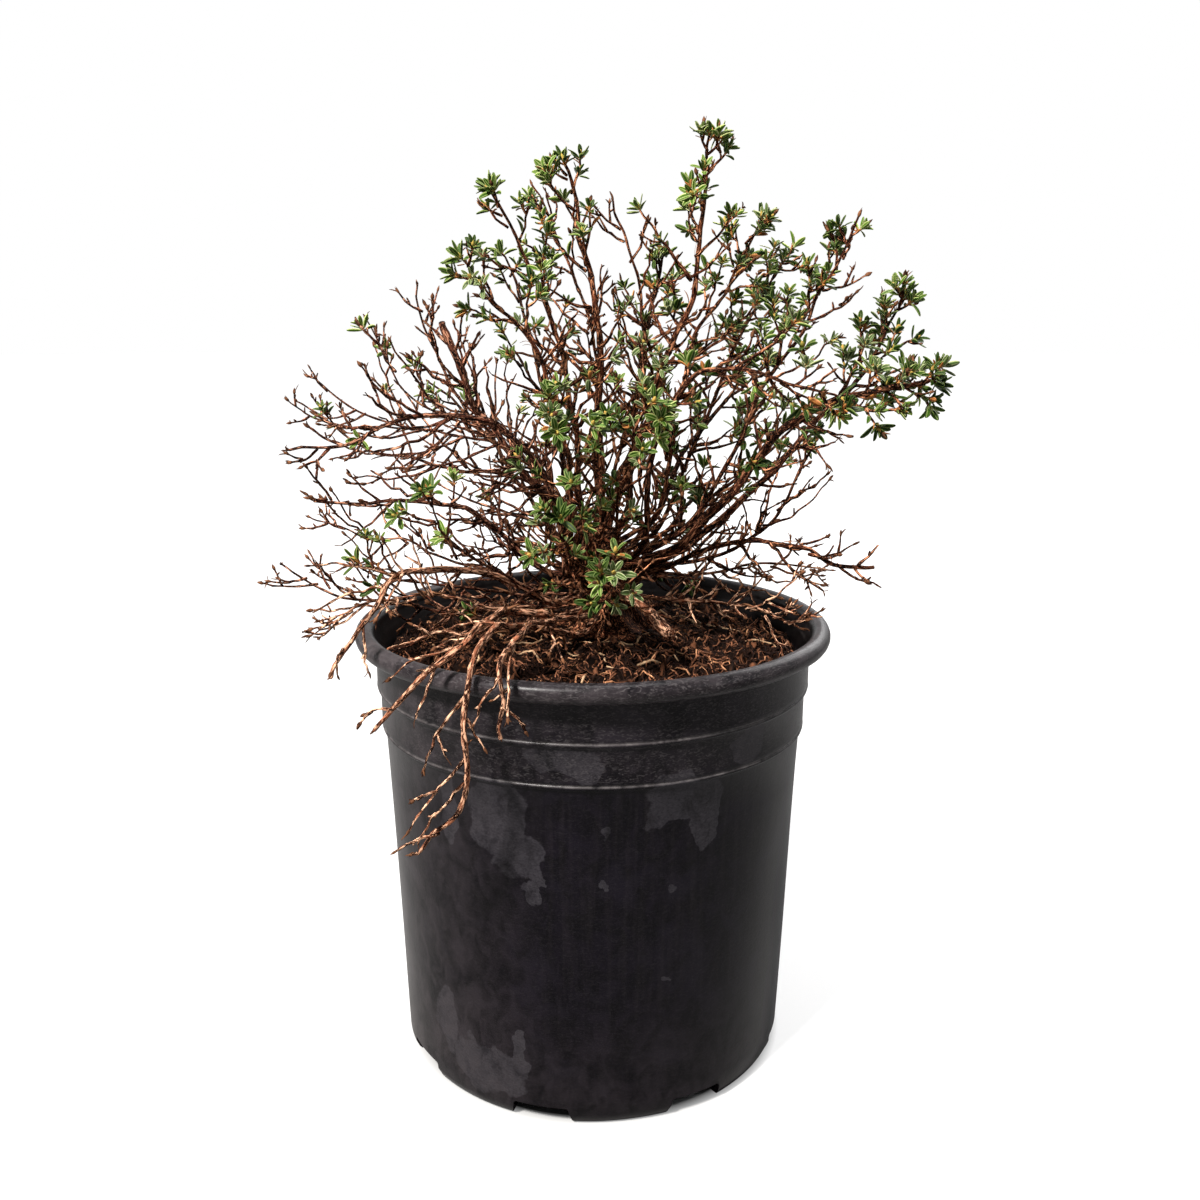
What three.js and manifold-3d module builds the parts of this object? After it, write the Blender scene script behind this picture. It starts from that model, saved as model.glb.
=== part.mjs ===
// A dwarf evergreen shrub with whorls of small leathery leaves, growing in a black nursery pot.
// Millimetres, +Z up. +X is to the viewer's right and +Y points away from the viewer.
// The origin is the centre of the pot's flat underside.
import * as THREE from "three";
import { mergeVertices } from "three/addons/utils/BufferGeometryUtils.js";
import Module from "manifold-3d";

const wasm = await Module();
wasm.setup();

const GAP = 0.3; // clearance kept between neighbouring pieces
const rad = THREE.MathUtils.degToRad;

// The pot: a thin tapered wall, two stepped collars, a rolled rim and eight drain slots at the foot.
const RIM_RADIUS = 118;
const RIM_TUBE = 4.7;
const RIM_TOP = 222;
const WALL = 1.8;
const FLOOR = 2.6;
const FOOT_RADIUS = 96;
const FOOT_BEVEL = 3;
const COLLAR_RADIUS = 108;
const COLLAR_STEP = 1.7;
const UPPER_LEDGE = 193;
const LOWER_LEDGE = 173;
const BEAD = 0.8;
const POT_SIDES = 46;
const SLOT_COUNT = 8;
const SLOT_ANGLE = rad(30.5);
const SLOT_WIDTH = 31;
const SLOT_TOP_WIDTH = 27;
const SLOT_HEIGHT = 9;
const SLOT_INNER_RADIUS = 84;

// The potting mix fills the pot and rises to a low mound under the trunk.
const MIX_EDGE = 206;
const MOUND_RISE = 6;
const MOUND_SPREAD = 44;
const MIX_ROUGHNESS = 1.3;
const MIX_RINGS = [0.12, 0.3, 0.5, 0.68, 0.84, 0.95];
const MIX_SIDES = 26;

// The trunk: short and gnarled, flat where it meets the mix, from which every limb leaves.
const TRUNK_FOOT = new THREE.Vector3(8, 16, MIX_EDGE + MOUND_RISE + 0.1);
const TRUNK_LEAN = new THREE.Vector2(-0.14, -0.12); // sideways per millimetre of height
const TRUNK_HEIGHT = 56;
const TRUNK_FLARE = 25;
const TRUNK_RADIUS = 15;
const TRUNK_SIDES = 16;
const FLUTES = 5;
const FLUTE_DEPTH = 0.04; // as a share of the radius, to which the next is added at the foot
const FLUTE_FOOT = 0.13;
const SEATS_LOW = 14; // heights on the trunk between which the limbs leave
const SEATS_HIGH = 40;
const SEAT_STEEP = rad(75);
const SEAT_GAP = 1.3;
const SEAT_ROUNDS = 200;
const LIMB_SINK = 6; // how deep a limb is rooted in the trunk before it is cut clear

// Every limb leaves the trunk and runs by way of its fork to its tip.
// radius is at its foot, and twigs is how many its stem bears.
// Of the options, bough gives it a bough of its own up to the fork, where its mass starts.
// leafy is the share of its twigs that end in a whorl, and blunt the radius of an end that was cut off.
// via is a place that it passes before its fork, such as the rim, and hang turns its twigs down.
const limb = (name, fork, tip, radius, twigs, options = {}) => ({
  name,
  fork: new THREE.Vector3(...fork),
  tip: new THREE.Vector3(...tip),
  radius,
  twigs,
  leafy: 0,
  ...options,
});
const LIMBS = [
  limb("crest_left", [-17, -8, 361], [-47, -20, 426], 2.4, 6, { bough: true, leafy: 1 }),
  limb("shoulder_left", [-25, -38, 357], [-57, -55, 395], 2.0, 6, { bough: true, leafy: 1 }),
  limb("spires_middle", [-4, 46, 372], [-31, 60, 434], 1.6, 4, { leafy: 0.25 }),
  limb("spires_right", [24, 22, 374], [10, 30, 424], 1.5, 4, { leafy: 0.25 }),
  limb("crest_middle", [-2, 8, 382], [-14, 8, 441], 2.2, 6, { bough: true, leafy: 1 }),
  limb("crest_right", [45, 0, 374], [54, 0, 452], 2.5, 6, { bough: true, leafy: 1 }),
  limb("crest_right_back", [55, 42, 366], [86, 55, 418], 1.8, 5, { leafy: 1 }),
  limb("right_high", [80, 64, 364], [108, 86, 405], 1.7, 5, { leafy: 0.7 }),
  limb("right_spire", [94, -16, 360], [120, -22, 414], 1.8, 4, { leafy: 0.4 }),
  limb("right_arm", [110, 8, 318], [152, 14, 380], 3.0, 6, { bough: true, leafy: 1 }),
  limb("right_reach", [108, -36, 332], [153, -50, 341], 2.6, 5, { bough: true, leafy: 1 }),
  limb("right_bent", [46, -52, 347], [104, -84, 337], 2.4, 6, { bough: true, leafy: 0.7 }),
  limb("right_back_low", [90, 68, 292], [122, 86, 317], 1.9, 4, { leafy: 0.7 }),
  limb("left_thick", [-41, -22, 309], [-68, -33, 367], 2.8, 5, {
    bough: true,
    blunt: 2,
    via: [-15, -12, 274],
  }),
  limb("left_whips", [-64, 14, 329], [-86, 22, 384], 1.6, 5, { via: [-23, 6, 300] }),
  limb("left_fan", [-80, -12, 328], [-106, -10, 368], 1.6, 5, { leafy: 0.2, via: [-34, -8, 309] }),
  limb("left_fan_back", [-99, 38, 314], [-149, 52, 338], 1.6, 5, { leafy: 0.2, via: [-34, 24, 297] }),
  limb("left_arm", [-55, -42, 325], [-133, -62, 313], 2.5, 6, { bough: true, via: [-24, -31, 300] }),
  limb("left_back", [-98, 70, 292], [-164, 90, 322], 1.8, 5, { leafy: 0.2, via: [-28, 42, 279] }),
  limb("left_low", [-62, -8, 278], [-134, -25, 286], 2.3, 6, { bough: true }),
  limb("left_tuft", [-66, -50, 272], [-71, -66, 296], 1.5, 3, { leafy: 1 }),
  limb("left_low_back", [-93, 32, 253], [-150, 44, 265], 1.6, 5, { leafy: 0.2 }),
  limb("left_sprig", [-88, -20, 245], [-112, -34, 258], 1.3, 3, { leafy: 1 }),
  limb("left_trail", [-120, 4, 230], [-155, 2, 248], 1.5, 4),
  limb("left_droop", [-105, -34, 238], [-127, -48, 232], 1.6, 4),
  limb("left_rim", [-99, -63, 243], [-114, -88, 217], 1.7, 4, { via: [-83, -46, 256], hang: true }),
  limb("hang_left", [-64, -104, 228], [-93, -106, 199], 1.7, 4, { via: [-49, -80, 238], hang: true }),
  limb("hang_front", [-54, -120, 170], [-78, -110, 144], 1.8, 3, { via: [-50, -106, 230], hang: true }),
  limb("hang_middle", [-38, -123, 230], [-38, -122, 201], 1.3, 2, { via: [-30, -92, 238], hang: true }),
  limb("right_low", [78, -10, 263], [134, -27, 253], 2.1, 5, { bough: true, blunt: 1.2 }),
  limb("right_trail", [88, 34, 241], [128, 45, 236], 1.6, 4),
  limb("right_rim", [75, -12, 229], [101, -24, 222], 1.5, 3),
  limb("right_rise", [92, 28, 266], [116, 40, 306], 1.6, 4),
  limb("front_tuft_left", [-12, -44, 264], [-14, -74, 285], 1.6, 4, { leafy: 1 }),
  limb("front_tuft_right", [10, -46, 246], [9, -80, 262], 1.6, 4, { leafy: 1 }),
  limb("centre_tuft_left", [-9, -38, 299], [-19, -62, 337], 1.7, 5, { leafy: 1 }),
  limb("centre_tuft_right", [14, -38, 299], [26, -70, 335], 1.7, 5, { leafy: 1 }),
  limb("back_crest_left", [-32, 78, 356], [-50, 98, 402], 1.9, 5, { leafy: 1 }),
  limb("back_crest_right", [28, 84, 350], [40, 112, 402], 2.3, 4, { bough: true, leafy: 1 }),
  limb("back_left", [-62, 104, 306], [-96, 132, 330], 1.9, 4, { leafy: 0.4 }),
  limb("back_right", [66, 100, 312], [102, 134, 342], 2.3, 4, { bough: true, leafy: 1 }),
  limb("back_low_left", [-54, 104, 252], [-84, 140, 256], 1.7, 5),
  limb("back_low_right", [52, 106, 256], [72, 146, 270], 1.7, 4, { leafy: 0.5 }),
];
// A limb that was cut off long ago and carries nothing.
const STUB = limb("cut_stub", [20, -22, 234], [36, -50, 226], 3.6, 0, { blunt: 2.8 });

const FORK_SHARE = 0.64; // a limb's radius at its fork, as a share of that at its foot
const TIP_RADIUS = 0.7;
const BOUGH_SIDES = 7;
const STEM_SIDES = 4;
const TWIG_SIDES = 3;
const BOUGH_STEP = 27; // length of one straight stretch of a bough
const STEM_STEP = 23;
const CROOK = 2; // how far a limb strays from its smooth line
const BEZIER_HANDLE = 0.36; // share of a stretch over which it keeps the heading of its end
const DROOP = 0.5; // how far a hanging limb's end turns down
const RISE = 0.25; // and any other's turns up

const TWIG_ANGLE = rad(44);
const TWIG_SHARE = 0.66; // a twig's foot against its stem there
const TWIG_TIP = 0.6; // radius of a twig's tip
const TWIG_STEPS = 2;
const TWIG_LENGTH = 9; // a twig's least length, to which a share of the stem beyond it is added
const TWIG_REACH = 0.42;
const TWIG_LIFT = 0.3; // how strongly a twig turns up, or down on a limb that hangs
const TWIG_BEND = 0.22;
const TWIG_APART = 2.4;
const BOUGH_START = 0.05; // shares of a stem before which no twig starts, beyond a bough
const BARE_START = 0.5; // and on a limb without one
const TWIGS_END = 0.96; // and share beyond which none does
const GOLDEN = Math.PI * (3 - Math.sqrt(5));
const TRIES = 10; // how often a twig that has no room is tried again
const TRY_TURN = 0.8; // and how far round the stem each time
const TRY_SHRINK = 0.05;
const WANDER = 0.5; // how far round the stem a twig strays from its turn
const LIMB_SEED = 1000;
const TWIG_SEED = 5000;

const LEAF_LENGTH = 11.5;
const LEAF_WIDTH = 5;
const LEAF_WIDEST = 0.58; // where along a leaf it is widest
const LEAF_NOTCH = 1.6; // radius of the notch between two leaves
const LEAVES = 5;
const LEAF_SHORT = 0.8; // length of an upper leaf against a lower one
const WHORL_LEAST = 0.9; // size of the least whorl, to which up to the next is added
const WHORL_RANGE = 0.3;
const LEAF_LOW = rad(12);
const LEAF_HIGH = rad(48);
const LEAF_CORE = 1.3; // half the thickness of a whorl where its leaves meet

const MATERIALS = {
  pot: { color: 0x232327, roughness: 0.55, metalness: 0 },
  mix: { color: 0x3a2317, roughness: 0.95, metalness: 0 },
  bark: { color: 0x6b4230, roughness: 0.85, metalness: 0 },
  foliage: { color: 0x4f7040, roughness: 0.6, metalness: 0 },
};

// A seeded stream of numbers from 0 to 1.
function stream(seed) {
  const modulus = 2147483647;
  let state = (seed * 48271 + 12345) % modulus;
  const next = () => {
    state = (state * 16807) % modulus;
    return state / modulus;
  };
  next();
  next();
  return next;
}

// A number from 0.8 to 1.2.
const vary = (random) => 0.8 + 0.4 * random();
const along = (p, d, s) => p.clone().addScaledVector(d, s);
const between = (a, b) => b.clone().sub(a).normalize();

// Two unit vectors square to d and to each other, with d as their cross product.
function across(d) {
  const up = Math.abs(d.z) < 0.9 ? new THREE.Vector3(0, 0, 1) : new THREE.Vector3(1, 0, 0);
  const n = new THREE.Vector3().crossVectors(up, d).normalize();
  return [n, new THREE.Vector3().crossVectors(d, n)];
}

// A closed geometry as a solid, and back.
function solidOf(geometry) {
  const bare = geometry.clone();
  bare.deleteAttribute("normal");
  bare.deleteAttribute("uv");
  const merged = mergeVertices(bare, 1e-4);
  return new wasm.Manifold(
    new wasm.Mesh({
      numProp: 3,
      vertProperties: new Float32Array(merged.attributes.position.array),
      triVerts: new Uint32Array(merged.index.array),
    }),
  );
}

function geometryOf(solid) {
  const mesh = solid.getMesh();
  const points = new Float32Array(mesh.numVert * 3);
  for (let i = 0; i < mesh.numVert; i++) {
    points.set(mesh.vertProperties.subarray(i * mesh.numProp, i * mesh.numProp + 3), i * 3);
  }
  return new THREE.BufferGeometry()
    .setAttribute("position", new THREE.BufferAttribute(points, 3))
    .setIndex(new THREE.BufferAttribute(mesh.triVerts, 1));
}

// The largest of a solid's separate bodies, so that no loose scrap is kept.
function largest(solid) {
  return solid.decompose().reduce((a, b) => (b.volume() > a.volume() ? b : a));
}

// A tapering cylinder bent along a path, with one ring of vertices at each point of the path.
function bentTube(path, radii, sides) {
  const steps = path.length - 1;
  const geometry = new THREE.CylinderGeometry(1, 1, 1, sides, steps);
  const frames = [];
  let [n] = across(between(path[0], path[1]));
  path.forEach((p, i) => {
    const t = between(path[Math.max(i - 1, 0)], path[Math.min(i + 1, steps)]);
    n = n.clone().addScaledVector(t, -n.dot(t)).normalize();
    frames.push({ n, b: new THREE.Vector3().crossVectors(n, t) });
  });
  const position = geometry.attributes.position;
  const v = new THREE.Vector3();
  for (let k = 0; k < position.count; k++) {
    v.fromBufferAttribute(position, k);
    const i = Math.round((v.y + 0.5) * steps);
    const { n: side, b } = frames[i];
    const p = along(along(path[i], side, v.x * radii[i]), b, v.z * radii[i]);
    position.setXYZ(k, p.x, p.y, p.z);
  }
  return solidOf(geometry);
}

// A lathe turned about +Z from [radius, height] pairs.
function turned(profile, sides) {
  return new THREE.LatheGeometry(
    profile.map(([r, z]) => new THREE.Vector2(r, z)),
    sides,
  ).rotateX(Math.PI / 2);
}

// Points on an arc of the pot's section, angles measured from outwards towards up.
function arc(centreRadius, centreHeight, radius, from, to, steps) {
  return Array.from({ length: steps + 1 }, (_, i) => {
    const a = from + ((to - from) * i) / steps;
    return [centreRadius + radius * Math.cos(a), centreHeight + radius * Math.sin(a)];
  });
}

// Radius of the pot's outer wall at a height, below the lower ledge.
function wallRadius(z) {
  const top = COLLAR_RADIUS - 2 * COLLAR_STEP;
  return FOOT_RADIUS + FOOT_BEVEL * 0.6 + ((top - FOOT_RADIUS - FOOT_BEVEL * 0.6) * z) / LOWER_LEDGE;
}

function makePot() {
  const rimCentre = RIM_TOP - RIM_TUBE;
  const tube = RIM_RADIUS - RIM_TUBE;
  const upper = COLLAR_RADIUS;
  const lower = COLLAR_RADIUS - COLLAR_STEP;
  const inner = COLLAR_RADIUS - 2 * COLLAR_STEP - WALL;
  const profile = [
    [0, 0],
    [FOOT_RADIUS - FOOT_BEVEL, 0],
    [wallRadius(FOOT_BEVEL * 2), FOOT_BEVEL * 2],
    [wallRadius(LOWER_LEDGE), LOWER_LEDGE - BEAD],
    [lower + BEAD, LOWER_LEDGE],
    [lower, LOWER_LEDGE + 2 * BEAD],
    [lower, UPPER_LEDGE - BEAD],
    [upper + BEAD, UPPER_LEDGE],
    [upper, UPPER_LEDGE + 2 * BEAD],
    [upper, rimCentre - RIM_TUBE],
    ...arc(tube, rimCentre, RIM_TUBE, rad(-60), rad(195), 6),
    [inner + COLLAR_STEP, rimCentre - 2 * RIM_TUBE],
    [inner, LOWER_LEDGE],
    [wallRadius(0) - WALL - 1, FLOOR],
    [0, FLOOR],
  ];
  let solid = solidOf(turned(profile, POT_SIDES));
  const slot = new THREE.Shape([
    new THREE.Vector2(-SLOT_WIDTH / 2, -1),
    new THREE.Vector2(SLOT_WIDTH / 2, -1),
    new THREE.Vector2(SLOT_TOP_WIDTH / 2, SLOT_HEIGHT),
    new THREE.Vector2(-SLOT_TOP_WIDTH / 2, SLOT_HEIGHT),
  ]);
  const depth = RIM_RADIUS - SLOT_INNER_RADIUS;
  const cutter = new THREE.ExtrudeGeometry(slot, { depth, bevelEnabled: false })
    .rotateX(Math.PI / 2)
    .translate(0, -SLOT_INNER_RADIUS, 0);
  for (let k = 0; k < SLOT_COUNT; k++) {
    const turn = SLOT_ANGLE + (k * 2 * Math.PI) / SLOT_COUNT;
    solid = solid.subtract(solidOf(cutter.clone().rotateZ(turn)));
  }
  return solid;
}

// Height of the potting mix at a place: a mound under the root crown, with small lumps around it.
function mixHeight(x, y) {
  const d = Math.hypot(x - TRUNK_FOOT.x, y - TRUNK_FOOT.y);
  const lumps = Math.sin(x * 0.21 + 1.3) * Math.cos(y * 0.17) + 0.6 * Math.sin(x * 0.09 - y * 0.33);
  const away = THREE.MathUtils.smoothstep(d, TRUNK_FLARE + 16, TRUNK_FLARE + 32);
  const mound = MOUND_RISE * Math.exp(-((Math.max(d - TRUNK_FLARE - 2, 0) / MOUND_SPREAD) ** 2));
  return MIX_EDGE - GAP + mound + MIX_ROUGHNESS * lumps * away;
}

function makeMix() {
  const inner = COLLAR_RADIUS - 2 * COLLAR_STEP - WALL - GAP;
  const foot = SLOT_INNER_RADIUS - GAP;
  const profile = [
    [0, FLOOR + GAP],
    [foot, FLOOR + GAP],
    [foot, SLOT_HEIGHT + 2],
    [wallRadius(SLOT_HEIGHT * 2) - WALL - 1.5, SLOT_HEIGHT * 2],
    [inner - 0.3, LOWER_LEDGE],
    [inner, MIX_EDGE],
    ...MIX_RINGS.map((share) => [inner * share, MIX_EDGE]).reverse(),
    [0, MIX_EDGE],
  ];
  const geometry = turned(profile, MIX_SIDES);
  const position = geometry.attributes.position;
  for (let k = 0; k < position.count; k++) {
    if (position.getZ(k) > MIX_EDGE - 1) {
      position.setZ(k, mixHeight(position.getX(k), position.getY(k)));
    }
  }
  return solidOf(geometry);
}

// A place on the trunk's leaning axis, at a height above its foot.
function trunkAxis(height) {
  const p = TRUNK_FOOT.clone();
  p.x += TRUNK_LEAN.x * height;
  p.y += TRUNK_LEAN.y * height;
  p.z += height;
  return p;
}

// The trunk, grown by `extra` when it is used to cut limbs clear.
function makeTrunk(extra) {
  const rows = [
    [0, 0],
    [TRUNK_FLARE, 0],
    [TRUNK_RADIUS + 4, 4],
    [TRUNK_RADIUS, 11],
    [TRUNK_RADIUS - 1, 20],
    [TRUNK_RADIUS + 0.5, 32],
    [TRUNK_RADIUS - 1, 43],
    [TRUNK_RADIUS * 0.6, 52],
    [0, TRUNK_HEIGHT],
  ];
  const geometry = turned(
    rows.map(([r, z], i) => [r ? r + extra : 0, i === rows.length - 1 ? z + extra : z]),
    TRUNK_SIDES,
  );
  const position = geometry.attributes.position;
  for (let k = 0; k < position.count; k++) {
    const x = position.getX(k);
    const y = position.getY(k);
    const z = position.getZ(k);
    const a = Math.atan2(y, x);
    const low = THREE.MathUtils.clamp(1 - z / SEATS_LOW, 0, 1);
    const depth = FLUTE_DEPTH + FLUTE_FOOT * low;
    const flute = 1 + depth * Math.sin(a * FLUTES + 0.6) + FLUTE_DEPTH * Math.sin(a * 3 + z * 0.06);
    const centre = trunkAxis(z);
    position.setXYZ(k, x * flute + centre.x, y * flute + centre.y, centre.z);
  }
  return solidOf(geometry);
}

// Places where the limbs leave the trunk: steep limbs high and flat ones low, eased apart from each other.
function trunkSeats(limbs) {
  const axis = new THREE.Line3(trunkAxis(SEATS_LOW), trunkAxis(SEATS_HIGH));
  const onTrunk = (p) => {
    const q = axis.closestPointToPoint(p, true, new THREE.Vector3());
    const direction = between(q, p);
    return { point: along(q, direction, TRUNK_RADIUS), direction };
  };
  const seats = limbs.map((limb) => {
    const d = limb.fork.clone().sub(TRUNK_FOOT);
    const share = Math.atan2(d.z, Math.hypot(d.x, d.y)) / SEAT_STEEP;
    const from = axis.at(THREE.MathUtils.clamp(share, 0, 1), new THREE.Vector3());
    return onTrunk(along(from, between(from, limb.fork), 1));
  });
  for (let round = 0; round < SEAT_ROUNDS; round++) {
    for (let i = 0; i < seats.length; i++) {
      for (let j = i + 1; j < seats.length; j++) {
        const wanted = limbs[i].radius + limbs[j].radius + SEAT_GAP;
        const distance = seats[i].point.distanceTo(seats[j].point);
        if (distance < wanted) {
          const push = between(seats[i].point, seats[j].point);
          seats[i] = onTrunk(along(seats[i].point, push, (distance - wanted) / 2));
          seats[j] = onTrunk(along(seats[j].point, push, (wanted - distance) / 2));
        }
      }
    }
  }
  return seats;
}

// Points from a to b that leave along da and arrive along db, with a seeded crook in between.
function span(a, da, b, db, step, random) {
  const length = a.distanceTo(b);
  const steps = Math.max(2, Math.round(length / step));
  const handle = length * BEZIER_HANDLE;
  const curve = new THREE.CubicBezierCurve3(a, along(a, da, handle), along(b, db, -handle), b);
  const points = curve.getPoints(steps);
  const [n, m] = across(between(a, b));
  for (let i = 1; i < steps; i++) {
    points[i].addScaledVector(n, (random() - 0.5) * 2 * CROOK);
    points[i].addScaledVector(m, (random() - 0.5) * 2 * CROOK);
  }
  return points;
}

// The place and direction at share t of a path.
function onPath(path, t) {
  const s = t * (path.length - 1);
  const i = Math.min(Math.floor(s), path.length - 2);
  return { point: path[i].clone().lerp(path[i + 1], s - i), direction: between(path[i], path[i + 1]) };
}

// Lays out a limb: a path from its foot to its fork, and one from its fork to its tip.
function layLimb(limb, index, seat) {
  const random = stream(LIMB_SEED + index * 17);
  const foot = along(seat.point, seat.direction, -LIMB_SINK);
  const stops = [foot, limb.fork, limb.tip];
  if (limb.via) stops.splice(1, 0, new THREE.Vector3(...limb.via));
  const last = stops.length - 1;
  const headings = stops.map((stop, i) => {
    if (i === 0) return seat.direction;
    const onward = between(stops[i - 1], stop);
    if (i < last) return onward.add(between(stop, stops[i + 1])).normalize();
    return onward.setZ(onward.z + (limb.hang ? -DROOP : RISE)).normalize();
  });
  const run = (i, step) => span(stops[i], headings[i], stops[i + 1], headings[i + 1], step, random);
  let lower = [foot];
  for (let i = 0; i < last - 1; i++) lower = lower.concat(run(i, BOUGH_STEP).slice(1));
  const upper = run(last - 1, STEM_STEP);
  const forkRadius = limb.radius * FORK_SHARE;
  const endRadius = limb.blunt ?? TIP_RADIUS;
  const taper = (path, from, to) => path.map((_, i) => THREE.MathUtils.lerp(from, to, i / (path.length - 1)));
  const lowerRadii = taper(lower, limb.radius, forkRadius);
  const upperRadii = taper(upper, forkRadius, endRadius);
  return { limb, index, lower, upper, lowerRadii, upperRadii, arriving: headings[last - 1] };
}

// Distance from a point to a path.
function pathDistance(p, path) {
  const line = new THREE.Line3();
  const q = new THREE.Vector3();
  let best = Infinity;
  for (let i = 0; i < path.length - 1; i++) {
    line.set(path[i], path[i + 1]).closestPointToPoint(p, true, q);
    best = Math.min(best, q.distanceTo(p));
  }
  return best;
}

// Whether a point is clear of the pot and of the potting mix.
function clearOfPot(p, margin) {
  const r = Math.hypot(p.x, p.y);
  if (p.z > RIM_TOP + margin || r > RIM_RADIUS + margin) return true;
  if (p.z < LOWER_LEDGE - margin) return r > COLLAR_RADIUS + margin;
  return r < COLLAR_RADIUS - 2 * COLLAR_STEP - WALL - margin && p.z > mixHeight(p.x, p.y) + margin;
}

// Whether a point lies in a mass's own space: nearer to its stem than to any other, and clear of the wood.
function makeSpace(own, all, wood) {
  return (p, margin) => {
    if (!clearOfPot(p, margin + 0.5)) return false;
    const mine = pathDistance(p, own.stem);
    const nearer = all.some((other) => other !== own && pathDistance(p, other.stem) < mine + 2 * margin);
    if (nearer) return false;
    return wood.every((piece) => pathDistance(p, piece.path) > piece.radius + margin + GAP);
  };
}

// A crooked twig that starts along d and turns towards the light, or down where the limb hangs.
function twigPath(start, d, length, lift, random) {
  const path = [start.clone()];
  let direction = d.clone();
  for (let i = 0; i < TWIG_STEPS; i++) {
    path.push(along(path[i], direction, length / TWIG_STEPS));
    direction = direction.clone();
    direction.z += lift;
    direction.x += (random() - 0.5) * TWIG_BEND * 2;
    direction.y += (random() - 0.5) * TWIG_BEND * 2;
    direction.normalize();
  }
  return path;
}

// The outline of a whorl of leaves round the end of a twig: blades with a notch between each two.
// A blade that would leave the mass's own space is left out.
function whorlOutline(centre, frame, size, inSpace) {
  const outline = [];
  const radial = (a, e) =>
    frame.n
      .clone()
      .multiplyScalar(Math.cos(a) * Math.cos(e))
      .addScaledVector(frame.m, Math.sin(a) * Math.cos(e))
      .addScaledVector(frame.t, Math.sin(e));
  for (let k = 0; k < LEAVES; k++) {
    const a = ((k + 0.5) * 2 * Math.PI) / LEAVES;
    const high = k % 2 === 1;
    const length = LEAF_LENGTH * size * (high ? LEAF_SHORT : 1);
    const d = radial(a, high ? LEAF_HIGH : LEAF_LOW);
    const sideways = radial(a + Math.PI / 2, 0);
    const wide = along(centre, d, length * LEAF_WIDEST);
    const spread = Math.atan2((LEAF_WIDTH * size) / 2, length * LEAF_WIDEST);
    const blade = [
      { angle: a - spread, point: along(wide, sideways, (-LEAF_WIDTH * size) / 2) },
      { angle: a, point: along(centre, d, length) },
      { angle: a + spread, point: along(wide, sideways, (LEAF_WIDTH * size) / 2) },
    ];
    if (blade.every((v) => inSpace(v.point, 0.5))) outline.push(...blade);
    const notch = a + Math.PI / LEAVES;
    outline.push({ angle: notch, point: along(centre, radial(notch, LEAF_LOW), LEAF_NOTCH) });
  }
  return outline;
}

// A shoot as one closed mesh: rings round its path, and at its end a point, a flat cut or a whorl.
function shoot(path, radii, sides, ending, size, spin, inSpace) {
  const last = path.length - 1;
  const points = [];
  const faces = [];
  let frame = { n: across(between(path[0], path[1]))[0].applyAxisAngle(between(path[0], path[1]), spin) };
  path.forEach((p, i) => {
    const t = between(path[Math.max(i - 1, 0)], path[Math.min(i + 1, last)]);
    const n = frame.n.clone().addScaledVector(t, -frame.n.dot(t)).normalize();
    frame = { n, m: new THREE.Vector3().crossVectors(t, n), t };
    if (i === last && ending === "point") {
      points.push(p.clone());
      return;
    }
    for (let j = 0; j < sides; j++) {
      const a = (j * 2 * Math.PI) / sides;
      points.push(along(along(p, n, radii[i] * Math.cos(a)), frame.m, radii[i] * Math.sin(a)));
    }
  });
  const vertex = (i, j) => i * sides + (j % sides);
  for (let i = 0; i < last; i++) {
    for (let j = 0; j < sides; j++) {
      if (i === last - 1 && ending === "point") {
        faces.push(vertex(i, j), vertex(i, j + 1), last * sides);
      } else {
        faces.push(vertex(i, j), vertex(i, j + 1), vertex(i + 1, j + 1));
        faces.push(vertex(i, j), vertex(i + 1, j + 1), vertex(i + 1, j));
      }
    }
  }
  for (let j = 1; j < sides - 1; j++) {
    faces.push(vertex(0, 0), vertex(0, j + 1), vertex(0, j));
    if (ending === "cut") faces.push(vertex(last, 0), vertex(last, j), vertex(last, j + 1));
  }
  if (ending === "whorl") {
    const outline = whorlOutline(along(path[last], frame.t, LEAF_CORE / 2), frame, size, inSpace);
    const first = points.length;
    const top = first + outline.length;
    points.push(...outline.map((v) => v.point), along(path[last], frame.t, LEAF_CORE * 1.5));
    // The underside is a band between the shoot's last ring and the outline, walked round both by angle.
    let j = 0;
    let before = top - 1;
    outline.forEach((v, k) => {
      while (((j + 1) * 2 * Math.PI) / sides < v.angle) {
        faces.push(vertex(last, j), vertex(last, j + 1), before);
        j++;
      }
      faces.push(vertex(last, j), first + k, before);
      faces.push(before, first + k, top);
      before = first + k;
    });
    for (; j < sides; j++) faces.push(vertex(last, j), vertex(last, j + 1), before);
  }
  return solidOf(new THREE.BufferGeometry().setFromPoints(points).setIndex(faces));
}

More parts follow.
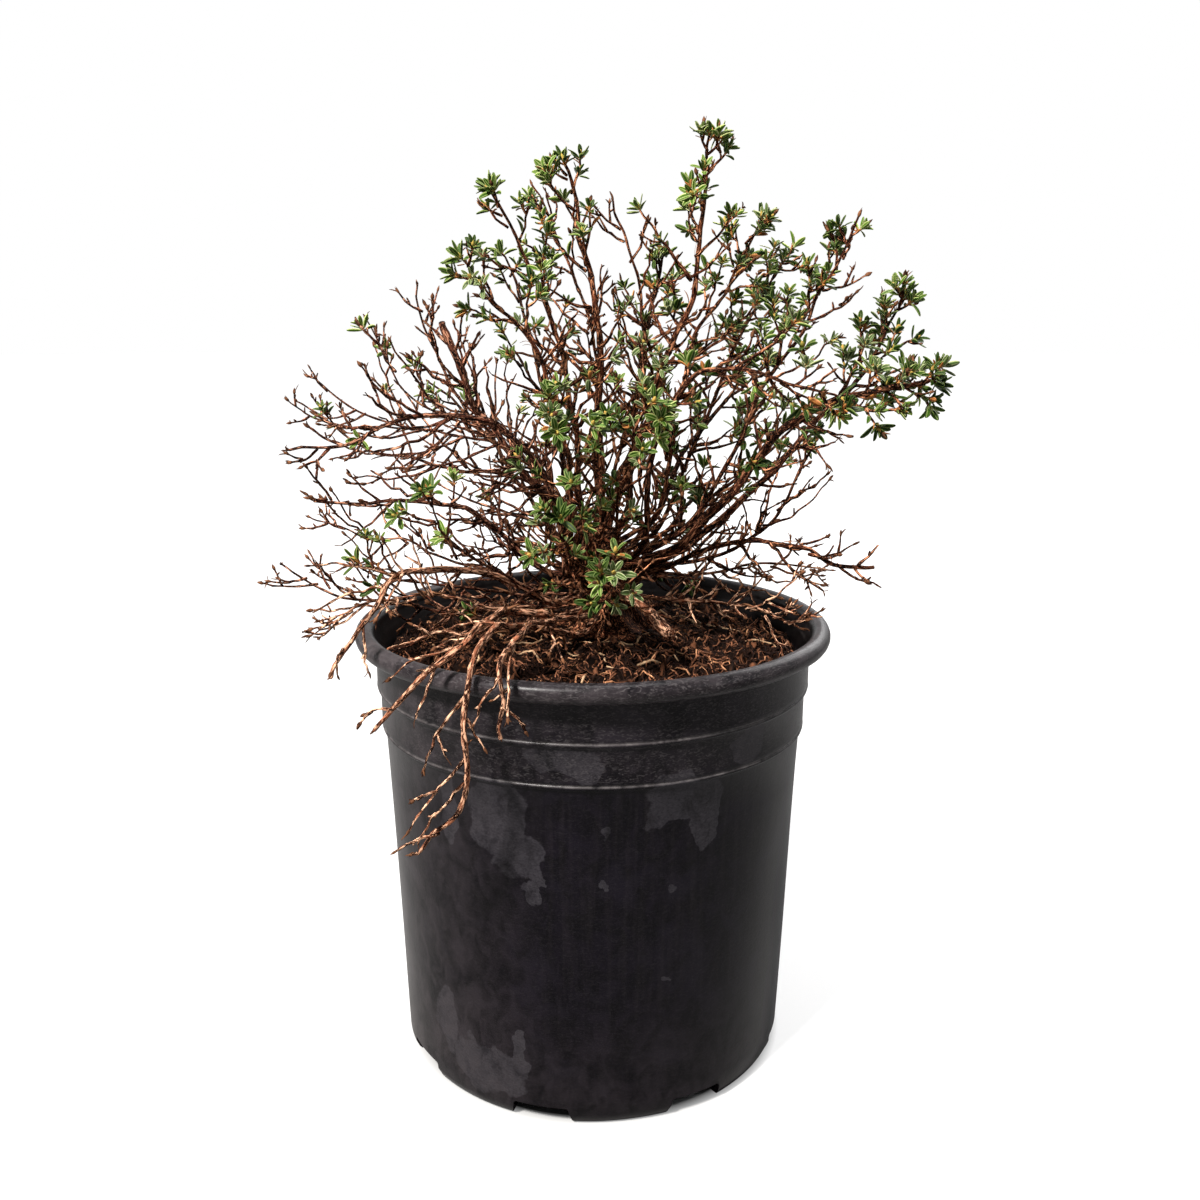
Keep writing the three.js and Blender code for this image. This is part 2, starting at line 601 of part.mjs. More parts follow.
// Grows one mass: its stem and its twigs, each with a whorl of leaves or bare, fused into one solid.
function growMass(place, space) {
  const { limb, index, stem, stemRadii, twigsFrom } = place;
  const stemLength = stem.reduce((sum, p, i) => sum + (i ? p.distanceTo(stem[i - 1]) : 0), 0);
  const lift = limb.hang ? -TWIG_LIFT : TWIG_LIFT;
  const stemEnd = limb.blunt ? "cut" : limb.leafy > 0.5 ? "whorl" : "point";
  const grown = [];
  const parts = [shoot(stem, stemRadii, STEM_SIDES, stemEnd, 1, index, space)];
  for (let k = 0; k < limb.twigs; k++) {
    const random = stream(TWIG_SEED + index * 101 + k * 7);
    const t = twigsFrom + (TWIGS_END - twigsFrom) * ((k + vary(random) - 0.5) / limb.twigs);
    const { point, direction } = onPath(stem, t);
    const foot = THREE.MathUtils.lerp(stemRadii[0], stemRadii[stemRadii.length - 1], t) * TWIG_SHARE;
    const [n, b] = across(direction);
    const ending = random() < limb.leafy ? "whorl" : "point";
    for (let attempt = 0; attempt < TRIES; attempt++) {
      const a = k * GOLDEN + index + attempt * TRY_TURN + random() * WANDER;
      const angle = TWIG_ANGLE * vary(random);
      const full = TWIG_LENGTH + TWIG_REACH * (1 - t) * stemLength;
      const length = full * vary(random) * (1 - TRY_SHRINK * attempt);
      const side = n.clone().multiplyScalar(Math.cos(a)).addScaledVector(b, Math.sin(a));
      const start = direction.clone().multiplyScalar(Math.cos(angle)).addScaledVector(side, Math.sin(angle));
      const path = twigPath(point, start, length, lift, random);
      const outside = path.slice(1).concat(path[0].clone().lerp(path[1], 0.6));
      const clear = outside.every((p) => space(p, 1) && grown.every((g) => pathDistance(p, g) > TWIG_APART));
      if (!clear) continue;
      const thick = Math.max(foot, TIP_RADIUS);
      const radii = path.map((_, i) => THREE.MathUtils.lerp(thick, TWIG_TIP, i / TWIG_STEPS));
      const size = WHORL_LEAST + WHORL_RANGE * random();
      parts.push(shoot(path, radii, TWIG_SIDES, ending, size, k, space));
      grown.push(path);
      break;
    }
  }
  return parts.reduce((a, b) => a.add(b));
}

function material(kind) {
  return new THREE.MeshStandardMaterial(MATERIALS[kind]);
}

function buildShrub() {
  const shrub = new THREE.Group();
  const put = (name, solid, kind) => {
    const mesh = new THREE.Mesh(geometryOf(solid), material(kind));
    mesh.name = name;
    shrub.add(mesh);
  };

  put("pot", makePot(), "pot");
  put("potting_mix", makeMix(), "mix");
  put("trunk", makeTrunk(0), "bark");

  const everyLimb = LIMBS.concat(STUB);
  const seats = trunkSeats(everyLimb);
  const laid = everyLimb.map((limb, i) => layLimb(limb, i, seats[i]));
  const cutters = [makeTrunk(GAP)];
  const wood = [{ path: [trunkAxis(SEATS_LOW), trunkAxis(SEATS_HIGH)], radius: TRUNK_RADIUS }];
  const cutClear = (solid) => largest(cutters.reduce((s, cutter) => s.subtract(cutter), solid));
  const putLimb = (name, path, radii) => {
    put(name, cutClear(bentTube(path, radii, BOUGH_SIDES)), "bark");
    cutters.push(bentTube(path, radii.map((r) => r + GAP), BOUGH_SIDES));
    wood.push({ path, radius: radii[0] });
  };

  const stub = laid.pop();
  putLimb(
    STUB.name,
    stub.lower.concat(stub.upper.slice(1)),
    stub.lowerRadii.concat(stub.upperRadii.slice(1)),
  );
  const places = laid.map((lay) => {
    const { limb, lower, lowerRadii, upper, upperRadii, arriving } = lay;
    if (limb.bough) {
      putLimb("bough_" + limb.name, lower, lowerRadii);
      const stem = [along(upper[0], arriving, GAP), ...upper.slice(1)];
      return { ...lay, stem, stemRadii: upperRadii, twigsFrom: BOUGH_START };
    }
    const stem = lower.concat(upper.slice(1));
    return { ...lay, stem, stemRadii: lowerRadii.concat(upperRadii.slice(1)), twigsFrom: BARE_START };
  });
  for (const place of places) {
    const space = makeSpace(place, places, wood);
    const mass = cutClear(growMass(place, space));
    put("mass_" + place.limb.name, mass, place.limb.leafy > 0.5 ? "foliage" : "bark");
  }
  return shrub;
}

export default buildShrub();
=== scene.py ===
from collections import namedtuple
from math import atan2, cos, dist, hypot, pi, radians, sin, sqrt, tau
from types import SimpleNamespace

import bpy
import numpy as np
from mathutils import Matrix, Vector, noise


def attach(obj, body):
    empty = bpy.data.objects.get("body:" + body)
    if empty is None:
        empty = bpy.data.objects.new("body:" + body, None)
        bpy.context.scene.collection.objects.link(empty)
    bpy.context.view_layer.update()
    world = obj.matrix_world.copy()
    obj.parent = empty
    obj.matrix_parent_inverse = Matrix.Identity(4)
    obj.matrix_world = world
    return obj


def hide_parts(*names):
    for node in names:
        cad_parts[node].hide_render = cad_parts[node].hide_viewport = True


# A dwarf evergreen shrub with whorls of small leathery leaves, in a black nursery pot.
# The limbs are laid out by the same rule and the same seeds as the model's solids, in millimetres.
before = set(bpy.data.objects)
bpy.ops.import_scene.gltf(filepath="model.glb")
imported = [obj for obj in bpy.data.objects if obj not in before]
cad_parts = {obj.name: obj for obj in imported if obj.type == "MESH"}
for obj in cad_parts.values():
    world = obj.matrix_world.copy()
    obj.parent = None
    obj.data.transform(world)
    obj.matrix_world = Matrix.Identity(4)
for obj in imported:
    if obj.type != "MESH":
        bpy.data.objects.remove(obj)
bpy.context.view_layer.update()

MM = 0.001
Z = np.array([0.0, 0.0, 1.0])
X = np.array([1.0, 0.0, 0.0])

# The camera and the studio, in metres.
CAMERA_PLACE = (0, -0.6102, 0.3774)
CAMERA_DOWN = radians(13.54)
LENS = 37.5
SHIFT = 0.0061
FLOOR_RADIUS = 9
FLOOR_SIDES = 96
FLOOR_COLOUR = (0.3, 0.299, 0.297)
FLOOR_GLOW = (0.74, 1.0)
UNDER_POT = (0.09, 0.1)
GLOW_RISE = (0.35, 1.6)
WORLD_LIGHT = 0.085

# The pot and its potting mix.
RIM_RADIUS = 118
RIM_TUBE = 4.7
RIM_TOP = 222
WALL = 1.8
POT_FLOOR = 2.6
FOOT_RADIUS = 96
FOOT_BEVEL = 3
COLLAR_RADIUS = 108
COLLAR_STEP = 1.7
INNER_RADIUS = COLLAR_RADIUS - 2 * COLLAR_STEP - WALL
UPPER_LEDGE = 193
LOWER_LEDGE = 173
BEAD = 0.8
POT_SIDES = 240
WALL_UNEVEN = 0.55
SLOT_COUNT = 8
SLOT_ANGLE = radians(30.5)
SLOT_WIDTH = 31
SLOT_TOP_WIDTH = 27
SLOT_HEIGHT = 9
SLOT_INNER_RADIUS = 84
SLOT_ROUND = 1.6
MIX_EDGE = 206
MOUND_RISE = 6
MOUND_SPREAD = 44
MIX_ROUGHNESS = 1.3
GAP = 0.3
MIX_RADIUS = INNER_RADIUS - GAP
# The crumbs of the mix, coarse to small: how high, how fine, and a layer of the noise for each.
CRUMBS = ((3.2, 0.12, 3), (2.4, 0.33, 9), (1.1, 0.8, 5))

# The trunk and the limbs.
TRUNK_FOOT = np.array([8, 16, MIX_EDGE + MOUND_RISE + 0.1])
TRUNK_LEAN = (-0.14, -0.12)
TRUNK_HEIGHT = 56
TRUNK_FLARE = 25
TRUNK_RADIUS = 15
FLUTES = 5
FLUTE_DEPTH = 0.04
FLUTE_FOOT = 0.13
SEATS_LOW = 14
SEATS_HIGH = 40
SEAT_STEEP = radians(75)
SEAT_GAP = 1.3
SEAT_ROUNDS = 200
LIMB_SINK = 6
FORK_SHARE = 0.64
TIP_RADIUS = 0.7
BOUGH_STEP = 27
STEM_STEP = 23
CROOK = 2
BEZIER_HANDLE = 0.36
DROOP = 0.5
RISE = 0.25

# The twigs.
TWIG_ANGLE = radians(44)
TWIG_SHARE = 0.66
TWIG_TIP = 0.46
FINE_TIP = 0.38
ROAM = 20
STOUT = (0.68, 1.02)
SLENDER = (0.55, 0.85)
LEFT_SLIM = 0.82
HANG_STOUT = 1.3
TWIG_STEPS = 2
TWIG_LIFT = 0.3
TWIG_BEND = 0.22
TWIG_APART = 2.4
BOUGH_START = 0.05
BARE_START = 0.5
TWIGS_END = 0.96
GOLDEN = pi * (3 - sqrt(5))
TRIES = 10
TRY_TURN = 0.8
TRY_SHRINK = 0.05
WANDER = 0.5
LIMB_SEED = 1000
TWIG_SEED = 5000
SEED_STEPS = {"first": 0, "more": 50021, "second": 90001, "spur": 120011, "low": 150001,
              "on_low": 180001, "cross": 210001, "on_cross": 240001}

# The limbs' meshes and the shreds of bark on them.
LIMB_STEP = 2.2
LIMB_SIDES = 14
SHREDS_UPTO = 0.75
SHREDS_EVERY = 4


def limb(name, fork, tip, radius, twigs, leafy=0, lush=1, bough=False, hang=False, blunt=None, via=None):
    """A limb runs from the trunk to its fork and on to its tip, which bears its twigs. leafy is the
    share of them that end in leaves, and lush how many more there are than in the solids."""
    fork = np.array(fork, float)
    tip = np.array(tip, float)
    return SimpleNamespace(name=name, fork=fork, tip=tip, radius=radius, twigs=twigs, leafy=leafy,
                           lush=lush, bough=bough, hang=hang, blunt=blunt, via=via)


LIMBS = [
    limb("crest_left", (-17, -8, 361), (-47, -20, 426), 2.4, 6, bough=True, leafy=1, lush=0.75),
    limb("shoulder_left", (-25, -38, 357), (-57, -55, 395), 2.0, 6, bough=True, leafy=1, lush=0.7),
    limb("spires_middle", (-4, 46, 372), (-31, 60, 434), 1.6, 4, leafy=0.25, lush=2),
    limb("spires_right", (24, 22, 374), (10, 30, 424), 1.5, 4, leafy=0.25, lush=2),
    limb("crest_middle", (-2, 8, 382), (-14, 8, 441), 2.2, 6, bough=True, leafy=1, lush=0.95),
    limb("crest_right", (45, 0, 374), (54, 0, 452), 2.5, 6, bough=True, leafy=1, lush=1.4),
    limb("crest_right_back", (55, 42, 366), (86, 55, 418), 1.8, 5, leafy=1, lush=2.8),
    limb("right_high", (80, 64, 364), (108, 86, 405), 1.7, 5, leafy=0.7, lush=2.7),
    limb("right_spire", (94, -16, 360), (120, -22, 414), 1.8, 4, leafy=0.4, lush=3),
    limb("right_arm", (110, 8, 318), (152, 14, 380), 3.0, 6, bough=True, leafy=1, lush=2.1),
    limb("right_reach", (108, -36, 332), (153, -50, 341), 2.6, 5, bough=True, leafy=1, lush=2.1),
    limb("right_bent", (46, -52, 347), (104, -84, 337), 2.4, 6, bough=True, leafy=0.7, lush=1.8),
    limb("right_back_low", (90, 68, 292), (122, 86, 317), 1.9, 4, leafy=0.7, lush=1.8),
    limb("left_thick", (-41, -22, 309), (-68, -33, 367), 2.8, 5, bough=True, blunt=2, via=(-15, -12, 274)),
    limb("left_whips", (-64, 14, 329), (-86, 22, 384), 1.6, 5, via=(-23, 6, 300)),
    limb("left_fan", (-80, -12, 328), (-106, -10, 368), 1.6, 5, leafy=0.2, via=(-34, -8, 309), lush=1.1),
    limb("left_fan_back", (-99, 38, 314), (-149, 52, 338), 1.6, 5, leafy=0.2, via=(-34, 24, 297), lush=1.3),
    limb("left_arm", (-55, -42, 325), (-133, -62, 313), 2.5, 6, bough=True, via=(-24, -31, 300)),
    limb("left_back", (-98, 70, 292), (-164, 90, 322), 1.8, 5, leafy=0.2, via=(-28, 42, 279), lush=1.2),
    limb("left_low", (-62, -8, 278), (-134, -25, 286), 2.3, 6, bough=True),
    limb("left_tuft", (-66, -50, 272), (-71, -66, 296), 1.5, 3, leafy=1, lush=0.4),
    limb("left_low_back", (-93, 32, 253), (-150, 44, 265), 1.6, 5, leafy=0.2),
    limb("left_sprig", (-88, -20, 245), (-112, -34, 258), 1.3, 3, leafy=1, lush=0.4),
    limb("left_trail", (-120, 4, 230), (-155, 2, 248), 1.5, 4),
    limb("left_droop", (-105, -34, 238), (-127, -48, 232), 1.6, 4),
    limb("left_rim", (-99, -63, 243), (-114, -88, 217), 1.7, 4, via=(-83, -46, 256), hang=True),
    limb("hang_left", (-64, -104, 228), (-93, -106, 199), 1.7, 4, via=(-49, -80, 238), hang=True),
    limb("hang_front", (-54, -120, 170), (-78, -110, 144), 1.8, 3, via=(-50, -106, 230), hang=True),
    limb("hang_middle", (-38, -123, 230), (-38, -122, 201), 1.3, 2, via=(-30, -92, 238), hang=True),
    limb("right_low", (78, -10, 263), (134, -27, 253), 2.1, 5, bough=True, blunt=1.2),
    limb("right_trail", (88, 34, 241), (128, 45, 236), 1.6, 4, lush=1.8),
    limb("right_rim", (75, -12, 229), (101, -24, 222), 1.5, 3, lush=2.5),
    limb("right_rise", (92, 28, 266), (116, 40, 306), 1.6, 4),
    limb("front_tuft_left", (-12, -44, 264), (-14, -74, 285), 1.6, 4, leafy=1, lush=0.9),
    limb("front_tuft_right", (10, -46, 246), (9, -80, 262), 1.6, 4, leafy=1, lush=0.7),
    limb("centre_tuft_left", (-9, -38, 299), (-19, -62, 337), 1.7, 5, leafy=1, lush=1.3),
    limb("centre_tuft_right", (14, -38, 299), (26, -70, 335), 1.7, 5, leafy=1, lush=1.4),
    limb("back_crest_left", (-32, 78, 356), (-50, 98, 402), 1.9, 5, leafy=1),
    limb("back_crest_right", (28, 84, 350), (40, 112, 402), 2.3, 4, bough=True, leafy=1, lush=1.5),
    limb("back_left", (-62, 104, 306), (-96, 132, 330), 1.9, 4, leafy=0.4),
    limb("back_right", (66, 100, 312), (102, 134, 342), 2.3, 4, bough=True, leafy=1, lush=1.5),
    limb("back_low_left", (-54, 104, 252), (-84, 140, 256), 1.7, 5),
    limb("back_low_right", (52, 106, 256), (72, 146, 270), 1.7, 4, leafy=0.5),
]
STUB = limb("cut_stub", (20, -22, 234), (36, -50, 226), 3.6, 0, blunt=2.8)

# How many twigs cross the gaps low down, from each limb of a side and from each of the others.
CROSSING = {"right": 5, "left": 5}
CROSSING_REST = 11

# The orders of twigs: their least length, what share of the stem beyond they add to it, the most that
# their foot may measure, how steeply they leave, and from where on. Those without a start of their own
# begin where the limb's twigs do.
Order = namedtuple("Order", "least reach thick steep start", defaults=(1, None))
ORDERS = {
    "first": Order(9, 0.42, 9),
    "more": Order(7, 0.3, 0.7),
    "whip": Order(13, 0.45, 0.8),
    "second": Order(4, 0.42, 0.65, 1.1, 0.22),
    "spur": Order(1.8, 0.12, 0.5, 1.2, 0.2),
    "low": Order(9, 0.2, 0.9, 1.2, 0.36),
    "cross": Order(22, 0.36, 1.3, 1.35, 0.15),
}
# The share of leafy twigs above which a limb bears more of them in place of bare whips, the share up to
# which it bears spurs, and the largest share for the finer twigs.
MORE_ABOVE = 0.3
SPURS_UPTO = 0.5
FINE_LEAFY = 0.6


# Directions and seeded numbers


def unit(v):
    return v / sqrt(v @ v)


def stream(seed):
    """A seeded stream of numbers from 0 to 1, the same as the model's solids use."""
    modulus = 2147483647
    state = (seed * 48271 + 12345) % modulus

    def draw():
        nonlocal state
        state = (state * 16807) % modulus
        return state / modulus

    draw()
    draw()
    return draw


def vary(draw):
    return 0.8 + 0.4 * draw()


def across(d):
    """Two unit vectors square to d and to each other."""
    up = Z if abs(d[2]) < 0.9 else X
    n = unit(np.cross(up, d))
    return n, np.cross(d, n)


def swing(n, m, angle):
    """The direction at an angle from n towards m."""
    return n * cos(angle) + m * sin(angle)


def square_to(d, v):
    """What is left of v, as a unit vector, once nothing of it lies along d."""
    return unit(v - d * (v @ d))


def angles_round(sides):
    return np.arange(sides) * tau / sides


def mix_height(x, y):
    """Height of the potting mix at a place, as in the solid under it."""
    d = np.hypot(x - TRUNK_FOOT[0], y - TRUNK_FOOT[1])
    lumps = np.sin(x * 0.21 + 1.3) * np.cos(y * 0.17) + 0.6 * np.sin(x * 0.09 - y * 0.33)
    away = np.clip((d - TRUNK_FLARE - 16) / 16, 0, 1)
    mound = MOUND_RISE * np.exp(-((np.maximum(d - TRUNK_FLARE - 2, 0) / MOUND_SPREAD) ** 2))
    return MIX_EDGE - GAP + mound + MIX_ROUGHNESS * lumps * away * away * (3 - 2 * away)


# The limbs, laid out by the source's rule


def trunk_axis(height):
    return TRUNK_FOOT + np.array([TRUNK_LEAN[0] * height, TRUNK_LEAN[1] * height, height])


def trunk_seats(limbs):
    """Where the limbs leave the trunk: steep limbs high and flat ones low, eased apart."""
    low = trunk_axis(SEATS_LOW)
    line = trunk_axis(SEATS_HIGH) - low

    def on_trunk(p):
        q = low + line * np.clip((p - low) @ line / (line @ line), 0, 1)
        direction = unit(p - q)
        return q + direction * TRUNK_RADIUS, direction

    seats = []
    for one in limbs:
        d = one.fork - TRUNK_FOOT
        start = low + line * np.clip(atan2(d[2], hypot(d[0], d[1])) / SEAT_STEEP, 0, 1)
        seats.append(on_trunk(start + unit(one.fork - start)))
    for _ in range(SEAT_ROUNDS):
        for i in range(len(seats)):
            for j in range(i + 1, len(seats)):
                wanted = limbs[i].radius + limbs[j].radius + SEAT_GAP
                distance = dist(seats[i][0], seats[j][0])
                if distance < wanted:
                    push = unit(seats[j][0] - seats[i][0]) * (wanted - distance) / 2
                    seats[i] = on_trunk(seats[i][0] - push)
                    seats[j] = on_trunk(seats[j][0] + push)
    return seats


def span(a, da, b, db, step, draw):
    """Points from a to b that leave along da and arrive along db, with a seeded crook in between."""
    length = dist(a, b)
    steps = max(2, int(length / step + 0.5))
    c = a + da * length * BEZIER_HANDLE
    d = b - db * length * BEZIER_HANDLE
    n, m = across(unit(b - a))
    points = []
    for i in range(steps + 1):
        t = i / steps
        s = 1 - t
        p = a * s**3 + 3 * c * s * s * t + 3 * d * s * t * t + b * t**3
        if 0 < i < steps:
            p = p + n * (draw() - 0.5) * 2 * CROOK
            p = p + m * (draw() - 0.5) * 2 * CROOK
        points.append(p)
    return points


def lay_limb(one, index, seat):
    """A limb's path from its foot to its fork, and from its fork to its tip, with their radii."""
    draw = stream(LIMB_SEED + index * 17)
    point, direction = seat
    stops = [point - direction * LIMB_SINK, one.fork, one.tip]
    if one.via:
        stops.insert(1, np.array(one.via, float))
    last = len(stops) - 1
    headings = [direction]
    for i in range(1, last + 1):
        onward = unit(stops[i] - stops[i - 1])
        if i < last:
            onward = onward + unit(stops[i + 1] - stops[i])
        else:
            onward = onward + Z * (-DROOP if one.hang else RISE)
        headings.append(unit(onward))
    lower = [stops[0]]
    for i in range(last - 1):
        lower += span(stops[i], headings[i], stops[i + 1], headings[i + 1], BOUGH_STEP, draw)[1:]
    upper = span(stops[-2], headings[-2], stops[-1], headings[-1], STEM_STEP, draw)
    fork_radius = one.radius * FORK_SHARE
    end_radius = one.blunt or TIP_RADIUS
    lower_radii = list(np.linspace(one.radius, fork_radius, len(lower)))
    upper_radii = list(np.linspace(fork_radius, end_radius, len(upper)))
    whole = lower + upper[1:]
    whole_radii = lower_radii + upper_radii[1:]
    if one.bough:
        start, stem, stem_radii = BOUGH_START, [upper[0] + headings[-2] * GAP] + upper[1:], upper_radii
    else:
        start, stem, stem_radii = BARE_START, whole, whole_radii
    return SimpleNamespace(**vars(one), index=index, start=start, stem=stem, stem_radii=stem_radii,
                           lower=lower, lower_radii=lower_radii, whole=whole, whole_radii=whole_radii)


def on_path(path, t):
    """The point at a share of a path, and the path's direction there."""
    s = t * (len(path) - 1)
    i = min(int(s), len(path) - 2)
    return path[i] + (path[i + 1] - path[i]) * (s - i), unit(path[i + 1] - path[i])


def path_length(path):
    return sum(dist(a, b) for a, b in zip(path, path[1:]))


class Paths:
    """Many paths, each with an owner, and the distance of a point from all of them at once."""

    def __init__(self, paths):
        self.a = np.array([p for path in paths for p in path[:-1]])
        self.d = np.array([q - p for path in paths for p, q in zip(path, path[1:])])
        self.owner = np.array([i for i, path in enumerate(paths) for _ in path[:-1]])
        self.square = np.einsum("ij,ij->i", self.d, self.d)

    def distances(self, p):
        t = np.clip(np.einsum("ij,ij->i", p - self.a, self.d) / self.square, 0, 1)
        rest = p - self.a - self.d * t[:, None]
        return np.sqrt(np.einsum("ij,ij->i", rest, rest))


def clear_of_pot(p, margin):
    r = hypot(p[0], p[1])
    if p[2] > RIM_TOP + margin or r > RIM_RADIUS + margin:
        return True
    if p[2] < LOWER_LEDGE - margin:
        return r > COLLAR_RADIUS + margin
    return r < INNER_RADIUS - margin and p[2] > mix_height(p[0], p[1]) + margin


def make_space(own, stems, wood, wood_radii):
    """Whether a point is nearer to its own stem than to any other, and clear of the wood and the pot."""

    def inside(p, margin):
        if not clear_of_pot(p, margin + 0.5):
            return False
        far = stems.distances(p)
        mine = far[stems.owner == own].min()
        if (far[stems.owner != own] < mine + 2 * margin).any():
            return False
        return (wood.distances(p) > wood_radii[wood.owner] + margin + GAP).all()

    return inside


def twig_path(start, direction, length, lift, draw):
    """A crooked twig that starts along a direction and turns towards the light, or down."""
    path = [start]
    for _ in range(TWIG_STEPS):
        path.append(path[-1] + direction * length / TWIG_STEPS)
        turn = [(draw() - 0.5) * TWIG_BEND * 2, (draw() - 0.5) * TWIG_BEND * 2]
        direction = unit(direction + np.array([turn[0], turn[1], lift]))
    return path


def bear(stem, radii, count, seed, order, lift, space, spin, leafy=0, start=None):
    """The twigs of a stem, each with its path, its radii and whether leaves end it."""
    length = path_length(stem)
    kind = ORDERS[order]
    start = kind.start if start is None else start
    tip = TWIG_TIP if order == "first" else FINE_TIP
    grown = []
    others = None
    for k in range(count):
        draw = stream(seed + k * 7)
        t = start + (TWIGS_END - start) * ((k + vary(draw) - 0.5) / count)
        point, direction = on_path(stem, t)
        foot = (radii[0] + (radii[-1] - radii[0]) * t) * TWIG_SHARE
        n, b = across(direction)
        whorled = draw() < leafy
        for attempt in range(TRIES):
            a = k * GOLDEN + spin + attempt * TRY_TURN + draw() * WANDER
            angle = TWIG_ANGLE * vary(draw) * kind.steep
            full = kind.least + kind.reach * (1 - t) * length
            size = full * vary(draw) * (1 - TRY_SHRINK * attempt)
            path = twig_path(point, swing(direction, swing(n, b, a), angle), size, lift, draw)
            outside = path[1:] + [path[0] + (path[1] - path[0]) * 0.6]
            if not all(space(p, 1) for p in outside):
                continue
            if others and min(others.distances(p).min() for p in outside) <= TWIG_APART:
                continue
            ends = (min(max(foot, TIP_RADIUS), kind.thick), tip)
            grown.append(SimpleNamespace(path=path, ends=ends, leafy=whorled, order=order))
            others = Paths([twig.path for twig in grown])
            break
    return grown


# Fine meshes: tubes, blades, and many of them joined


def smooth(path, step):
    """A finer path through the same points, and the share of the way at each point."""
    p = np.array(path)
    p = np.vstack([2 * p[0] - p[1], p, 2 * p[-1] - p[-2]])
    points = []
    shares = []
    stretches = len(p) - 3
    for i in range(stretches):
        a, b, c, d = p[i:i + 4]
        steps = max(1, round(dist(b, c) / step))
        t = (np.arange(steps) / steps)[:, None]
        cubic = 2 * b + (c - a) * t + (2 * a - 5 * b + 4 * c - d) * t**2 + (3 * b - a - 3 * c + d) * t**3
        points.append(cubic / 2)
        shares.append((i + t[:, 0]) / stretches)
    return np.vstack(points + [p[-2:-1]]), np.append(np.concatenate(shares), 1)


def crooked(points, amount, every, rng):
    """The same path with seeded bends, one every few points, and none at its two ends."""
    knots = rng.uniform(-amount, amount, (len(points) // every + 3, 3))
    where = np.linspace(0, len(knots) - 1, len(points))
    offset = np.stack([np.interp(where, np.arange(len(knots)), knots[:, i]) for i in range(3)], 1)
    window = np.minimum(1, np.minimum(np.arange(len(points)), np.arange(len(points))[::-1]) / 2)
    return points + offset * window[:, None]


def frames_along(points):
    """At each point of a path, its direction and two more square to it, which twist as little as can be."""
    t = np.gradient(points, axis=0)
    t /= np.linalg.norm(t, axis=1)[:, None]
    n = across(t[0])[0]
    normals = []
    for d in t:
        n = unit(n - d * (n @ d))
        normals.append(n)
    n = np.array(normals)
    return t, n, np.cross(t, n)


class Gather:
    """Points and faces of many small things, to be joined in one piece.
    lay holds each point's place on its own surface, which the materials read."""

    def __init__(self):
        self.points = []
        self.quads = []
        self.tris = []
        self.lay = []
        self.count = 0

    def add(self, points, quads, tris, lay):
        self.points.append(points)
        self.quads.append(np.reshape(quads, (-1, 4)) + self.count)
        self.tris.append(np.reshape(tris, (-1, 3)) + self.count)
        self.lay.append(lay)
        self.count += len(points)

    def tube(self, points, radii, sides, relief=1.0, tip=0.0, tone=0.0):
        """A closed tube round a path. tip is how far its end stands out to a point."""
        t, n, m = frames_along(points)
        a = angles_round(sides)
        around = np.cos(a)[None, :, None] * n[:, None] + np.sin(a)[None, :, None] * m[:, None]
        r = np.broadcast_to(radii[:, None] * relief, (len(points), sides))
        skin = points[:, None] + around * r[..., None]
        run = np.concatenate([[0], np.cumsum(np.linalg.norm(np.diff(points, axis=0), axis=1))])
        lay = np.stack([r * np.cos(a), r * np.sin(a), np.broadcast_to(run[:, None] + tone, r.shape)], 2)
        ends = np.array([points[0], points[-1] + t[-1] * tip])
        end_lay = np.array([[0, 0, tone], [0, 0, run[-1] + tone]])
        lay = np.vstack([lay.reshape(-1, 3), end_lay])
        self.add(np.vstack([skin.reshape(-1, 3), ends]), *tube_faces(len(points), sides), lay)

    def blade(self, shape, at, along, up, length, width, bend=0.0, fold=0.0, thick=0.25, tone=0.0):
        """A thin closed blade that leaves along a direction, arches down and folds along its middle."""
        s, c, under, outline, quads = shape
        half = width / 2 * outline
        arc = s * bend
        turn = bend if abs(bend) > 1e-3 else 1e-3
        x = length * np.sin(s * turn) / turn
        drop = length * (1 - np.cos(s * turn)) / turn
        lift = fold * np.abs(c) * half - thick * under
        side = np.cross(up, along)
        z = lift * np.cos(arc) - drop
        x = x - lift * np.sin(arc) * np.sign(turn)
        points = at + x[:, None] * along + (c * half)[:, None] * side + z[:, None] * up
        self.add(points, quads, np.zeros((0, 3), int), np.stack([c, s, np.full(len(s), tone)], 1))


# The faces of each kind of tube, worked out once.
TUBE_FACES = {}


def tube_faces(rings, sides):
    """The faces of a closed tube, whose two end points come last."""
    if (rings, sides) not in TUBE_FACES:
        i = np.arange(rings - 1)[:, None] * sides
        j = np.arange(sides)[None]
        k = (j + 1) % sides
        quads = np.stack([i + j, i + k, i + sides + k, i + sides + j], 2).reshape(-1, 4)
        foot = np.stack([np.full(sides, rings * sides), k[0], j[0]], 1)
        last = (rings - 1) * sides
        end = np.stack([np.full(sides, rings * sides + 1), last + j[0], last + k[0]], 1)
        TUBE_FACES[rings, sides] = (quads, np.vstack([foot, end]))
    return TUBE_FACES[rings, sides]


